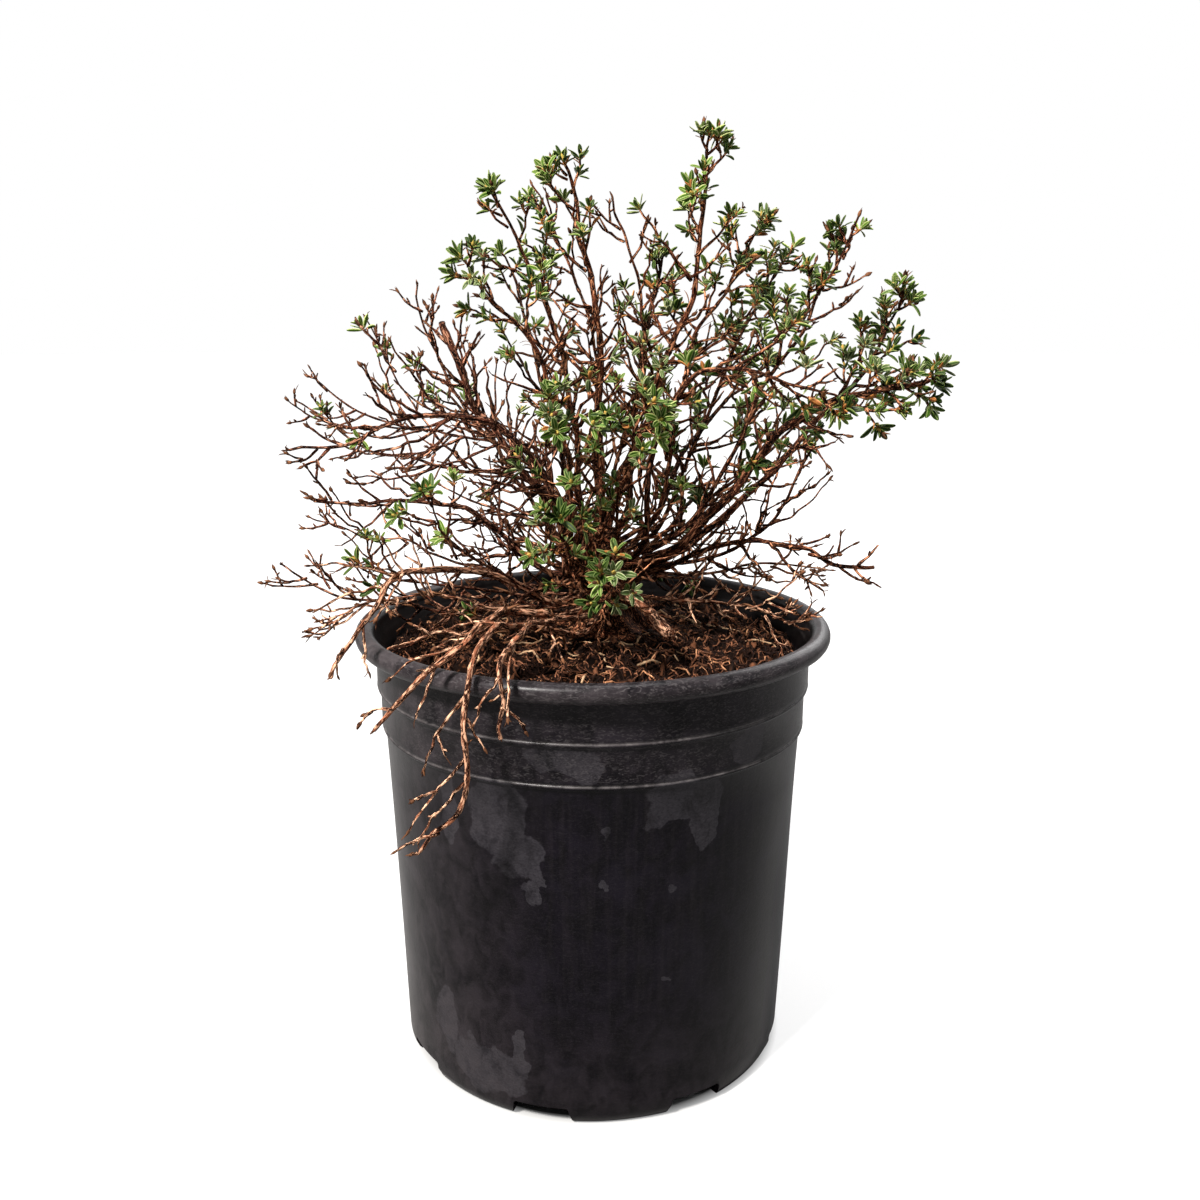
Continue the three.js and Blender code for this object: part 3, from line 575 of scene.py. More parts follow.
def blade_shape(shares, columns, outline):
    """Where the points of a blade lie: share of its length, place across it, and whether underneath."""
    shares = np.array(shares)
    rows = len(shares) - 1
    i, j = np.meshgrid(np.arange(rows + 1), np.arange(columns + 1), indexing="ij")
    top = i * (columns + 1) + j
    inner = (i > 0) & (i < rows) & (j > 0) & (j < columns)
    below = top.copy()
    below[inner] = top.size + np.arange(inner.sum())
    s = shares[np.concatenate([i.ravel(), i[inner]])]
    c = np.concatenate([j.ravel(), j[inner]]) / columns * 2 - 1
    under = np.concatenate([np.zeros(top.size), np.ones(inner.sum())])
    quads = []
    for grid, order in ((top, (0, 1, 2, 3)), (below, (3, 2, 1, 0))):
        corners = [grid[:-1, :-1], grid[1:, :-1], grid[1:, 1:], grid[:-1, 1:]]
        quads.append(np.stack([corners[o] for o in order], 2).reshape(-1, 4))
    return s, c, under, outline(s), np.vstack(quads)


LEAF_WIDEST = 0.56


def leaf_outline(s):
    """Narrow at the stalk, widest past the middle, and blunt at the tip."""
    swell = 0.16 + 0.84 * np.sin(pi / 2 * np.minimum(s / LEAF_WIDEST, 1))
    past = np.maximum(s - LEAF_WIDEST, 0) / (1.02 - LEAF_WIDEST)
    return swell * (1 - past**2.1) ** 0.62


def strip_outline(s):
    return 0.35 + 0.65 * np.sin(pi * (0.1 + 0.84 * s))


LEAF = blade_shape((0, 0.14, 0.34, 0.56, 0.78, 0.92, 1), 4, leaf_outline)
SMALL_BLADE = blade_shape((0, 0.25, 0.5, 0.75, 1), 2, strip_outline)


def make_mesh(name, gather):
    points = np.vstack(gather.points) * MM
    quads = np.vstack(gather.quads)
    tris = np.vstack(gather.tris)
    corners = np.concatenate([quads.ravel(), tris.ravel()]).astype(np.int32)
    starts = np.concatenate([np.arange(len(quads)) * 4, quads.size + np.arange(len(tris)) * 3])
    mesh = bpy.data.meshes.new(name)
    mesh.vertices.add(len(points))
    mesh.vertices.foreach_set("co", points.ravel())
    mesh.loops.add(len(corners))
    mesh.loops.foreach_set("vertex_index", corners)
    mesh.polygons.add(len(starts))
    mesh.polygons.foreach_set("loop_start", starts.astype(np.int32))
    mesh.update(calc_edges=True)
    lay = mesh.attributes.new("lay", "FLOAT_VECTOR", "POINT")
    lay.data.foreach_set("vector", np.vstack(gather.lay).astype(np.float32).ravel())
    mesh.shade_smooth()
    return mesh


def link(name, data):
    made = bpy.data.objects.new(name, data)
    bpy.context.scene.collection.objects.link(made)
    return made


def put(name, gather, material, replaced=()):
    """Shows what was gathered as one piece of the plant, in place of the solids that it stands for."""
    piece = link(name, make_mesh(name, gather))
    piece.data.materials.append(material)
    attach(piece, "root")
    if replaced:
        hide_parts(*replaced)
    return piece


# Materials


class Net:
    """A tree of shader nodes. Each method adds nodes and gives back what comes out of them."""

    def __init__(self, tree):
        self.tree = tree

    def feed(self, made, inputs):
        """Gives each input a value, a colour or another node's output."""
        for name, value in inputs.items():
            socket = made.inputs[name]
            if isinstance(value, bpy.types.NodeSocket):
                self.tree.links.new(value, socket)
            else:
                socket.default_value = (*value, 1) if socket.type == "RGBA" else value

    def add(self, kind, inputs=None, **settings):
        made = self.tree.nodes.new("ShaderNode" + kind)
        for name, value in settings.items():
            setattr(made, name, value)
        self.feed(made, inputs or {})
        return made.outputs

    def shade(self, inputs):
        self.feed(self.tree.nodes["Principled BSDF"], inputs)

    def chain(self, operation, *values):
        """One number from several, which are taken together from the first on."""
        result = values[0]
        for value in values[1:]:
            result = self.add("Math", {0: result, 1: value}, operation=operation)[0]
        return result

    def plus(self, *values):
        return self.chain("ADD", *values)

    def times(self, *values):
        return self.chain("MULTIPLY", *values)

    def most(self, *values):
        return self.chain("MAXIMUM", *values)

    def unsigned(self, value):
        return self.add("Math", {0: value}, operation="ABSOLUTE")[0]

    def vector(self, operation, a, b):
        return self.add("VectorMath", {0: a, 1: b}, operation=operation)[0]

    def length(self, vector):
        return self.add("VectorMath", {0: vector}, operation="LENGTH")["Value"]

    def mix(self, share, a, b):
        return self.add("Mix", {0: share, 6: a, 7: b}, data_type="RGBA")[2]

    def ramp(self, value, low, high):
        """Nought at low, one at high, and even in between."""
        return self.add("MapRange", {"Value": value, "From Min": low, "From Max": high})[0]

    def noise(self, vector, scale, detail, stretch=(1, 1, 1), distortion=0):
        moved = self.add("Mapping", {"Vector": vector, "Scale": stretch})[0]
        inputs = {"Vector": moved, "Scale": scale, "Detail": detail, "Distortion": distortion}
        return self.add("TexNoise", inputs)["Fac"]

    def bump(self, height, strength, distance):
        return self.add("Bump", {"Height": height, "Strength": strength, "Distance": distance * MM})[0]

    def split(self, vector):
        return tuple(self.add("SeparateXYZ", {0: vector}))

    def place(self):
        return self.add("TexCoord")["Object"]

    def lay(self):
        return self.add("Attribute", attribute_name="lay")["Vector"]


def new_material(name, roughness, specular):
    made = bpy.data.materials.new(name)
    made.use_nodes = True
    net = Net(made.node_tree)
    net.shade({"Roughness": roughness, "Specular IOR Level": specular})
    return made, net


def bark_material(name, dark, light, bright, torn_and_highlit_share):
    """Bark that shreds lengthwise: near-black furrows and darker patches that are partly painted shade,
    brown ridges, and bright strips that are torn bark and painted highlights.
    """
    made, net = new_material(name, 0.8, 0.04)
    lay = net.lay()
    furrows = net.noise(lay, 1.3, 4, (1, 1, 0.14), 0.5)
    patches = net.noise(lay, 0.13, 3, (1, 1, 0.8))
    strips = net.noise(lay, 0.9, 4, (1, 1, 0.22), 0.8)
    flecks = net.noise(lay, 2.4, 3, (1, 1, 0.4))
    # Near-black furrows, and darker patches below: partly the bark's own colour, partly painted shade.
    base = net.mix(net.ramp(furrows, 0.45, 0.62), dark, light)
    base = net.mix(net.ramp(patches, 0.43, 0.57), base, net.mix(0.85, base, dark))
    # Bright strips: torn bark, and painted highlights as well.
    torn_and_highlit = net.most(net.ramp(strips, 0.62 - torn_and_highlit_share, 0.7 - torn_and_highlit_share), net.ramp(flecks, 0.6, 0.7))
    base = net.mix(net.times(torn_and_highlit, 0.9), base, bright)
    net.shade({"Base Color": base, "Normal": net.bump(net.plus(furrows, strips), 0.8, 0.5)})
    return made


def leaf_material(name, face, edge):
    """A leathery leaf: paler at its stalk, along its midrib and round its edge."""
    made, net = new_material(name, 0.42, 0.08)
    lay = net.lay()
    side, along, _ = net.split(lay)
    off = net.unsigned(side)
    margin = net.times(net.ramp(off, 0.62, 0.94), 0.8)
    rib = net.times(net.ramp(off, 0.2, 0.0), 0.5)
    stalk = net.ramp(along, 0.3, 0.06)
    mottle = net.noise(lay, 2.2, 3)
    tinted = net.mix(net.ramp(mottle, 0.3, 0.7), face, tuple(c * 0.5 for c in face))
    base = net.mix(net.most(margin, stalk, rib), tinted, edge)
    net.shade({"Base Color": base, "Normal": net.bump(mottle, 0.2, 0.2)})
    return made


def mix_material():
    """Moist dark peat with brown crumbs."""
    made, net = new_material("potting_mix", 0.95, 0.04)
    place = net.place()
    crumbs = net.noise(place, 420, 5)
    patches = net.noise(place, 60, 2)
    base = net.mix(net.ramp(patches, 0.35, 0.7), (0.002, 0.0012, 0.001), (0.008, 0.0036, 0.0022))
    base = net.mix(net.ramp(crumbs, 0.58, 0.78), base, (0.1, 0.036, 0.014))
    net.shade({"Base Color": base, "Normal": net.bump(crumbs, 0.9, 1.2)})
    return made


# Small things with one plain pattern: its dark and its light colour.
FINE = {
    "fibres_dark": ((0.003, 0.0014, 0.001), (0.024, 0.009, 0.005)),
    "fibres_brown": ((0.02, 0.008, 0.004), (0.28, 0.112, 0.058)),
    "fibres_tan": ((0.22, 0.09, 0.042), (0.62, 0.31, 0.16)),
    "bark_chips": ((0.006, 0.003, 0.002), (0.19, 0.072, 0.034)),
    "litter": ((0.26, 0.14, 0.075), (0.55, 0.37, 0.22)),
    "bark_shreds": ((0.06, 0.024, 0.012), (0.36, 0.16, 0.075)),
    "whorl_buds": ((0.27, 0.23, 0.045), (0.52, 0.3, 0.08)),
    "bare_buds": ((0.025, 0.01, 0.006), (0.2, 0.085, 0.04)),
}


def put_fine(name, gather):
    dark, light = FINE[name]
    made, net = new_material(name, 0.9, 0.1)
    net.shade({"Base Color": net.mix(net.ramp(net.noise(net.lay(), 0.35, 2), 0.35, 0.65), dark, light)})
    put(name, gather, made)


# Dried water marks on the pot: the angle from the front, the height, and how wide and tall.
STAINS = [
    (-0.42, 154, 15, 18), (-0.33, 138, 11, 14), (-0.27, 123, 4.5, 12),
    (-0.68, 152, 5.5, 20), (0.38, 165, 21, 10), (0.5, 154, 8, 13),
    (0.27, 160, 7, 9), (0.37, 121, 3.2, 4), (0.36, 72, 1.4, 1.6),
    (0.02, 146, 2.4, 4), (-0.06, 134, 1.8, 4), (0.08, 128, 2, 2.6),
    (-0.54, 24, 19, 13), (-0.36, 38, 5, 12), (-0.78, 40, 8, 18),
    (-0.14, 184, 15, 7), (0.72, 184, 10, 8), (1.9, 150, 24, 18),
    (2.7, 60, 26, 22), (-2.2, 140, 22, 26), (-1.6, 40, 20, 16),
]
RAGGED_SCALE = 42
RAGGED_BY = 0.03


def wall_radius(z):
    """The pot's outer radius at a height below its ledges."""
    foot = FOOT_RADIUS + FOOT_BEVEL * 0.6
    return foot + (COLLAR_RADIUS - 2 * COLLAR_STEP - foot) * z / LOWER_LEDGE


def water_marks(net, place):
    """A mask of the dried water marks. Noise moves the place about, so that their edges are ragged."""
    wobble = net.add("TexNoise", {"Vector": place, "Scale": RAGGED_SCALE, "Detail": 4})["Color"]
    centred = net.vector("SUBTRACT", wobble, (0.5, 0.5, 0.5))
    moved = net.vector("ADD", place, net.vector("MULTIPLY", centred, (RAGGED_BY,) * 3))
    marks = []
    for angle, height, wide, tall in STAINS:
        radius = wall_radius(height) * MM
        centre = (sin(angle) * radius, -cos(angle) * radius, height * MM)
        sizes = (wide * MM, wide * MM, tall * MM)
        far = net.length(net.vector("DIVIDE", net.vector("SUBTRACT", moved, centre), sizes))
        marks.append(net.ramp(far, 1.05, 0.98))
    return net.most(*marks)


def highlit_edges(net, height, patchy):
    """A mask of the pale lines along the pot's ledges and under its rim: painted highlights on those edges,
    broken into patches.
    """
    lines = []
    for edge in (RIM_TOP - 2 * RIM_TUBE - 0.6, UPPER_LEDGE, LOWER_LEDGE):
        off = net.unsigned(net.chain("SUBTRACT", height, edge * MM))
        lines.append(net.ramp(off, 0.9 * MM, 0.3 * MM))
    return net.times(net.most(*lines), net.ramp(patchy, 0.3, 0.62))


def shaded_inner_wall(net, place, height):
    """A mask of the wall's inner face, which leans outwards up to the rim; there shade is painted in as
    near black.
    """
    radius = net.length(net.vector("MULTIPLY", place, (1, 1, 0)))
    limit = net.plus(net.times(height, 0.35), 33.3 * MM)
    return net.ramp(net.chain("SUBTRACT", radius, limit), 0.4 * MM, -0.4 * MM)


def pot_material():
    """Charcoal moulded plastic, with dried water marks, dust, wear and fine scuffs; a painted reflection in
    pale streaks down its left side, painted highlights on its rim and along its ledges, and painted shade
    on its inner wall.
    """
    made, net = new_material("pot_plastic", 0.4, 0.1)
    place = net.place()
    x, _, z = net.split(place)
    cloud = net.noise(place, 46, 6, distortion=0.6)
    blotches = net.noise(place, 120, 5, (1, 1, 0.7), 1.0)
    grain = net.noise(place, 900, 2)
    runs = net.noise(place, 150, 4, (1, 1, 0.1), 0.3)
    streaks = net.noise(place, 330, 3, (1, 1, 0.04))
    scuffs = net.noise(place, 380, 6, (1, 1, 2.6), 1.6)
    uneven = net.plus(cloud, blotches)
    collar = net.ramp(z, LOWER_LEDGE * MM, (LOWER_LEDGE + 3) * MM)
    low = net.ramp(z, 0.07, 0.01)
    rim = net.ramp(z, (RIM_TOP - 9.5) * MM, (RIM_TOP - 8.5) * MM)
    # The left side of the pot, and its far edge, where a reflection is painted in as pale colour.
    left = net.ramp(x, -0.02, -0.1)
    reflecting_far_left = net.ramp(x, -0.07, -0.1)

    chalky = net.plus(net.ramp(scuffs, 0.3, 0.6), net.ramp(grain, 0.3, 0.7))
    marks = net.times(water_marks(net, place), net.ramp(uneven, 0.6, 1.0), net.ramp(runs, 0.1, 0.42),
                      net.ramp(chalky, -0.8, 1.6))
    base = net.mix(net.ramp(blotches, 0.4, 0.7), (0.0007, 0.0003, 0.0012), (0.0034, 0.0022, 0.0048))
    base = net.mix(net.ramp(cloud, 0.52, 0.7), base, (0.0044, 0.0032, 0.0064))
    base = net.mix(net.times(net.ramp(grain, 0.5, 0.75), 0.3), base, (0.01, 0.0082, 0.012))
    base = net.mix(marks, base, (0.023, 0.021, 0.0252))

    # Wear on the collar and a little all over, and on the rim a painted highlight.
    wear_and_rim_highlight = net.plus(net.times(collar, 0.35), 0.06, net.times(rim, 0.3))
    wear_and_rim_highlight = net.times(wear_and_rim_highlight, net.ramp(scuffs, 0.5, 0.7))
    base = net.mix(wear_and_rim_highlight, base, (0.075, 0.068, 0.07))
    # Pale lines painted along the ledges and under the rim as highlights.
    base = net.mix(net.times(highlit_edges(net, z, blotches), 0.75), base, (0.11, 0.1, 0.1))
    # Pale streaks: a painted reflection, strong down the far left side, and faint dust elsewhere.
    dust_and_reflection = net.times(net.plus(net.times(reflecting_far_left, 0.5), 0.05), net.ramp(streaks, 0.45, 0.75))
    # A pale film: a painted reflection on the left side and a painted highlight on the rim, and lighter
    # towards the foot and on the collar.
    film_and_sheen = net.plus(net.times(left, 0.3), net.times(low, 0.14), net.times(collar, 0.1),
                    net.times(rim, 0.22))
    film_and_sheen = net.times(film_and_sheen, net.ramp(uneven, 0.7, 1.2))
    base = net.mix(net.most(dust_and_reflection, film_and_sheen), base, (0.072, 0.06, 0.062))
    # Painted shade: the inner wall darkened to near black.
    base = net.mix(net.times(shaded_inner_wall(net, place, z), 0.85), base, (0.0022, 0.0015, 0.0013))

    rough = net.plus(net.times(marks, 0.2), 0.3, net.times(wear_and_rim_highlight, 0.3))
    relief = net.plus(scuffs, blotches, grain)
    net.shade({"Base Color": base, "Roughness": rough, "Normal": net.bump(relief, 0.12, 0.3)})
    return made


# The pot and the potting mix


def arc(centre_radius, centre_height, radius, low, high, steps):
    angles = np.linspace(low, high, steps + 1)
    return [(centre_radius + radius * cos(a), centre_height + radius * sin(a)) for a in angles]


def turn_profile(profile, sides):
    """A lathe about +Z from (radius, height) pairs that start and end on the axis."""
    profile = np.array(profile)
    a = angles_round(sides)
    ring = profile[1:-1]
    skin = np.stack([ring[:, :1] * np.cos(a), ring[:, :1] * np.sin(a), np.repeat(ring[:, 1:], sides, 1)], 2)
    ends = np.array([[0, 0, profile[0, 1]], [0, 0, profile[-1, 1]]])
    points = np.vstack([skin.reshape(-1, 3), ends])
    gather = Gather()
    gather.add(points, *tube_faces(len(ring), sides), points * MM)
    return gather


def slot_cutter():
    """The prisms, rounded at their upper corners, that cut the drain slots."""
    half_low = SLOT_WIDTH / 2
    half_high = SLOT_TOP_WIDTH / 2
    outline = [(-half_low, -4), (half_low, -4)]
    for sign, low, high in ((1, 0, pi / 2), (-1, pi / 2, pi)):
        outline += arc(sign * (half_high - SLOT_ROUND), SLOT_HEIGHT - SLOT_ROUND, SLOT_ROUND, low, high, 4)
    reach = (SLOT_INNER_RADIUS, RIM_RADIUS)
    gather = Gather()
    for k in range(SLOT_COUNT):
        turn = SLOT_ANGLE + k * tau / SLOT_COUNT
        out = np.array([sin(turn), -cos(turn), 0])
        side = np.array([cos(turn), sin(turn), 0])
        points = [out * r + side * x + Z * z for r in reach for x, z in outline]
        points = np.array(points + [out * r + Z * SLOT_HEIGHT / 2 for r in reach])
        gather.add(points, *tube_faces(2, len(outline)), points)
    return link("slot_cutter", make_mesh("slot_cutter", gather))


def ledge_profile(radius, height):
    """The rounded bead under a collar, and the collar's foot above it."""
    return [*arc(radius[0] + BEAD, height - BEAD, BEAD * 1.3, -pi / 2, pi / 3, 5),
            (radius[1], height + 1.4 * BEAD), (radius[1], height + 3 * BEAD)]


def build_pot():
    rim_centre = RIM_TOP - RIM_TUBE
    upper = COLLAR_RADIUS
    lower = COLLAR_RADIUS - COLLAR_STEP
    ledge = wall_radius(LOWER_LEDGE)
    profile = [
        (0, 0),
        (60, 0),
        (FOOT_RADIUS - FOOT_BEVEL - 1, 0),
        (FOOT_RADIUS - FOOT_BEVEL * 0.4, 0.5),
        (FOOT_RADIUS, FOOT_BEVEL * 0.6),
        *[(wall_radius(z), z) for z in (FOOT_BEVEL * 2, 14, 30, 60, 90, 120, 150)],
        (ledge, LOWER_LEDGE - 4 * BEAD),
        *ledge_profile((ledge, lower), LOWER_LEDGE),
        (lower, UPPER_LEDGE - 4 * BEAD),
        *ledge_profile((lower, upper), UPPER_LEDGE),
        (upper, rim_centre - RIM_TUBE - 1),
        (upper + 0.4, rim_centre - RIM_TUBE * 0.86),
        *arc(RIM_RADIUS - RIM_TUBE, rim_centre, RIM_TUBE, radians(-100), radians(195), 16),
        (INNER_RADIUS + COLLAR_STEP, rim_centre - 2 * RIM_TUBE),
        (INNER_RADIUS, LOWER_LEDGE),
        (wall_radius(0) - WALL - 1, POT_FLOOR + 2),
        (wall_radius(0) - WALL - 3, POT_FLOOR),
        (0, POT_FLOOR),
    ]
    pot = put("pot_shell", turn_profile(profile, POT_SIDES), pot_material(), ["pot"])
    cutter = slot_cutter()
    cut = pot.modifiers.new("slots", "BOOLEAN")
    cut.object = cutter
    cut.solver = "EXACT"
    mesh = bpy.data.meshes.new_from_object(pot.evaluated_get(bpy.context.evaluated_depsgraph_get()))
    pot.modifiers.clear()
    pot.data = mesh
    bpy.data.objects.remove(cutter)
    for vertex in mesh.vertices:
        outwards = Vector((vertex.co.x, vertex.co.y, 0))
        if outwards.length > 0.06:
            uneven = noise.noise(Vector((outwards.x, outwards.y, vertex.co.z * 0.6)) * 22)
            vertex.co += outwards.normalized() * uneven * WALL_UNEVEN * MM
    mesh.shade_smooth()
    mesh.set_sharp_from_angle(angle=radians(38))


def fine_mix_height(x, y):
    """The potting mix's surface with its crumbs."""
    crumbs = sum(high * noise.noise(Vector((x, y, layer)) * fine) for high, fine, layer in CRUMBS)
    return float(mix_height(x, y)) + crumbs


def build_mix():
    foot = SLOT_INNER_RADIUS - GAP
    profile = [
        (0, POT_FLOOR + GAP),
        (foot, POT_FLOOR + GAP),
        (foot, SLOT_HEIGHT + 2),
        (wall_radius(SLOT_HEIGHT * 2) - WALL - 1.5, SLOT_HEIGHT * 2),
        (MIX_RADIUS - 0.3, LOWER_LEDGE),
        (MIX_RADIUS, MIX_EDGE - 4),
        *[(r, MIX_EDGE) for r in np.linspace(MIX_RADIUS, 2, 72)],
        (0, MIX_EDGE),
    ]
    gather = turn_profile(profile, 220)
    for p in gather.points[0]:
        if p[2] > MIX_EDGE - 1:
            p[2] = fine_mix_height(p[0], p[1])
    put("mix_bed", gather, mix_material(), ["potting_mix"])


def on_mix(rng, margin=0):
    """A seeded place on the potting mix."""
    r = (MIX_RADIUS - margin) * sqrt(rng.uniform(0.01, 0.97))
    a = rng.uniform(0, tau)
    return r * cos(a), r * sin(a)


def add_fibre(gather, rng):
    """A curly fibre that arches over the potting mix."""
    x, y = on_mix(rng)
    heading = rng.uniform(0, tau)
    curl = rng.normal(0, 1.0)
    step = rng.uniform(1.1, 2.7)
    arch = rng.uniform(0.2, 2.2)
    points = []
    for i in range(5):
        if hypot(x, y) > MIX_RADIUS - 0.8:
            break
        points.append((x, y, fine_mix_height(x, y) + 0.25 + arch * sin(pi * i / 4)))
        heading += curl + rng.normal(0, 0.25)
        x += step * cos(heading)
        y += step * sin(heading)
    if len(points) > 2:
        thick = rng.uniform(0.2, 0.62)
        radii = thick * np.linspace(1, 0.55, len(points))
        gather.tube(np.array(points), radii, 4, tip=thick, tone=rng.uniform(0, 90))


def add_chip(gather, rng):
    """A chip of bark that lies on the potting mix."""
    x, y = on_mix(rng, 4)
    a = rng.uniform(0, tau)
    along = unit(np.array([cos(a), sin(a), rng.normal(0, 0.35)]))
    at = np.array([x, y, fine_mix_height(x, y) + 0.5])
    gather.blade(SMALL_BLADE, at, along, square_to(along, Z), rng.uniform(3, 9), rng.uniform(1.4, 4.2),
                 rng.normal(0, 0.8), rng.normal(0, 0.4), 0.7, rng.uniform(0, 9))


def add_dead_twig(gather, rng):
    """A dead twig fallen on the potting mix."""
    x, y = on_mix(rng, 8)
    a = rng.uniform(0, tau)
    length = rng.uniform(9, 30)
    count = max(4, round(length / 3))
    points = []
    for i in range(count):
        s = length * i / (count - 1)
        px, py = x + s * cos(a), y + s * sin(a)
        if hypot(px, py) > MIX_RADIUS - 2:
            break
        points.append((px, py, fine_mix_height(px, py) + 1.3))
        a += rng.normal(0, 0.12)
    if len(points) > 3:
        thick = rng.uniform(0.4, 0.85)
        radii = np.linspace(thick, thick * 0.7, len(points))
        gather.tube(np.array(points), radii, 5, tone=rng.uniform(0, 90))


def strew(name, count, add, rng):
    gather = Gather()
    for _ in range(count):
        add(gather, rng)
    put_fine(name, gather)


def build_litter():
    """What covers the potting mix: fibres, chips and fallen twigs."""
    rng = np.random.default_rng(71)
    for name, count in (("fibres_dark", 2600), ("fibres_brown", 1200), ("fibres_tan", 260)):
        strew(name, count, add_fibre, rng)
    strew("bark_chips", 620, add_chip, rng)
    strew("litter", 46, add_dead_twig, np.random.default_rng(5))


# The trunk, the limbs and their bark


def build_trunk(bark):
    """The short gnarled stock with flutes that spread to its foot."""
    rows = np.array([(TRUNK_FLARE, 0), (TRUNK_RADIUS + 4, 4), (TRUNK_RADIUS, 11), (TRUNK_RADIUS - 1, 20),
                     (TRUNK_RADIUS + 0.5, 32), (TRUNK_RADIUS - 1, 43), (TRUNK_RADIUS * 0.6, 52), (0.5, 56)])
    heights = np.linspace(0, TRUNK_HEIGHT, 58)
    sides = 110
    a = angles_round(sides)
    skin = []
    lay = []
    for z in heights:
        radius = np.interp(z, rows[:, 1], rows[:, 0])
        depth = FLUTE_DEPTH + FLUTE_FOOT * np.clip(1 - z / SEATS_LOW, 0, 1)
        flute = 1 + depth * np.sin(a * FLUTES + 0.6) + FLUTE_DEPTH * np.sin(a * 3 + z * 0.06)
        centre = trunk_axis(z)
        for angle, share in zip(a, flute):
            x, y = cos(angle), sin(angle)
            ridge = noise.noise(Vector((x * 5, y * 5, z * 0.07)))
            scale = noise.noise(Vector((x * 16, y * 16, z * 0.25)))
            r = radius * share + 1.5 * ridge + 0.7 * scale
            skin.append((centre[0] + x * r, centre[1] + y * r, centre[2]))
            lay.append((x * r, y * r, z))
    skin += [trunk_axis(0), trunk_axis(TRUNK_HEIGHT + 0.5)]
    lay += [(0, 0, 0), (0, 0, TRUNK_HEIGHT)]
    gather = Gather()
    gather.add(np.array(skin), *tube_faces(len(heights), sides), np.array(lay))
    put("trunk_bark", gather, bark, ["trunk"])


def ridged(angle, run, offset):
    """How far the bark stands out at a place on a limb, as a share of its radius."""
    x, y = cos(angle), sin(angle)
    ridges = [high * noise.noise(Vector((x * fine, y * fine, run * along + offset)))
              for high, fine, along in ((0.16, 1.7, 0.09), (0.1, 4, 0.3))]
    return 1 + ridges[0] + ridges[1]


def add_limb(gather, laid, rng):
    """A limb as one tube from the trunk to its tip, with a collar at its foot and shredded bark."""
    path, shares = smooth(laid.whole, LIMB_STEP)
    slender = rng.uniform(*(STOUT if laid.bough or laid.blunt or laid.hang else SLENDER))
    if laid.hang:
        slender *= HANG_STOUT
    elif laid.name.startswith("left"):
        slender *= LEFT_SLIM
    path = crooked(crooked(path, 2.1, 10, rng), 0.4, 4, rng)
    radii = np.interp(shares, np.linspace(0, 1, len(laid.whole)), laid.whole_radii)
    run = np.arange(len(path)) * LIMB_STEP
    radii = radii * slender * (1 + 0.45 * np.exp(-run / 7))
    offset = laid.index * 17.3
    relief = np.array([[ridged(a, s, offset) for a in angles_round(LIMB_SIDES)] for s in run])
    swell = 1 + 0.2 * np.maximum(0, np.sin(run * 0.42 + offset)) ** 6
    gather.tube(path, radii * swell, LIMB_SIDES, relief, 0.0 if laid.blunt else 1.2, offset * 5)
    return path, radii


def add_shreds(gather, path, radii, rng):
    """Strips of bark that peel from a limb."""
    t, n, m = frames_along(path)
    for i in range(3, int(len(path) * SHREDS_UPTO), SHREDS_EVERY):
        out = swing(n[i], m[i], rng.uniform(0, tau))
        along = unit(t[i] * rng.choice([-1, 1]) + out * rng.uniform(0.05, 0.5))
        at = path[i] + out * radii[i] * 0.96
        up = square_to(along, out)
        gather.blade(SMALL_BLADE, at, along, up, rng.uniform(3, 11), rng.uniform(0.5, 1.4),
                     rng.uniform(-2.0, 1.0), rng.normal(0, 0.5), 0.16, rng.uniform(0, 9))


# Leaves and buds

# The colours of a leaf's face and of its edge, dealt out by whorl.
LEAF_COLOURS = {
    "leaves_deep": ((0.007, 0.027, 0.0015), (0.17, 0.22, 0.06)),
    "leaves_mid": ((0.026, 0.072, 0.004), (0.35, 0.39, 0.14)),
    "leaves_fresh": ((0.07, 0.15, 0.011), (0.54, 0.56, 0.25)),
    "leaves_sage": ((0.055, 0.1, 0.022), (0.49, 0.5, 0.28)),
    "leaves_dry": ((0.3, 0.1, 0.024), (0.6, 0.3, 0.1)),
}
GREEN_LEAVES = ("leaves_deep", "leaves_mid", "leaves_fresh", "leaves_sage")
GREEN_SHARES = (0.3, 0.36, 0.17, 0.17)
# The share of whorls with dry leaves below them.
SCALY = 0.55
# Places along the axis of a bud, and of the husk on a bare tip, with the radius at each.
BUD_STEPS = (-0.5, 0.7, 1.8, 2.6)
BUD_RADII = (0.75, 1.05, 0.8, 0.25)
HUSK_STEPS = (-0.6, 0.4, 1.4, 2.6)
HUSK_RADII = (0.5, 0.8, 0.72, 0.2)


def add_leaf(gather, at, out, axis, rise, length, rng):
    """One leaf that leaves a shoot sideways and rises towards the shoot's own heading."""
    along = swing(out, axis, rise)
    up = swing(axis, -out, rise)
    gather.blade(LEAF, at, unit(along), unit(up), length, length * rng.uniform(0.31, 0.42),
                 rng.uniform(-0.5, 0.5), rng.uniform(0.2, 0.8), 0.28, rng.uniform(0, 9))


def add_bud(gather, at, axis, steps, radii, size, tip, tone):
    gather.tube(np.array([at + axis * s for s in steps]), np.array(radii) * size, 6, tip=tip, tone=tone)


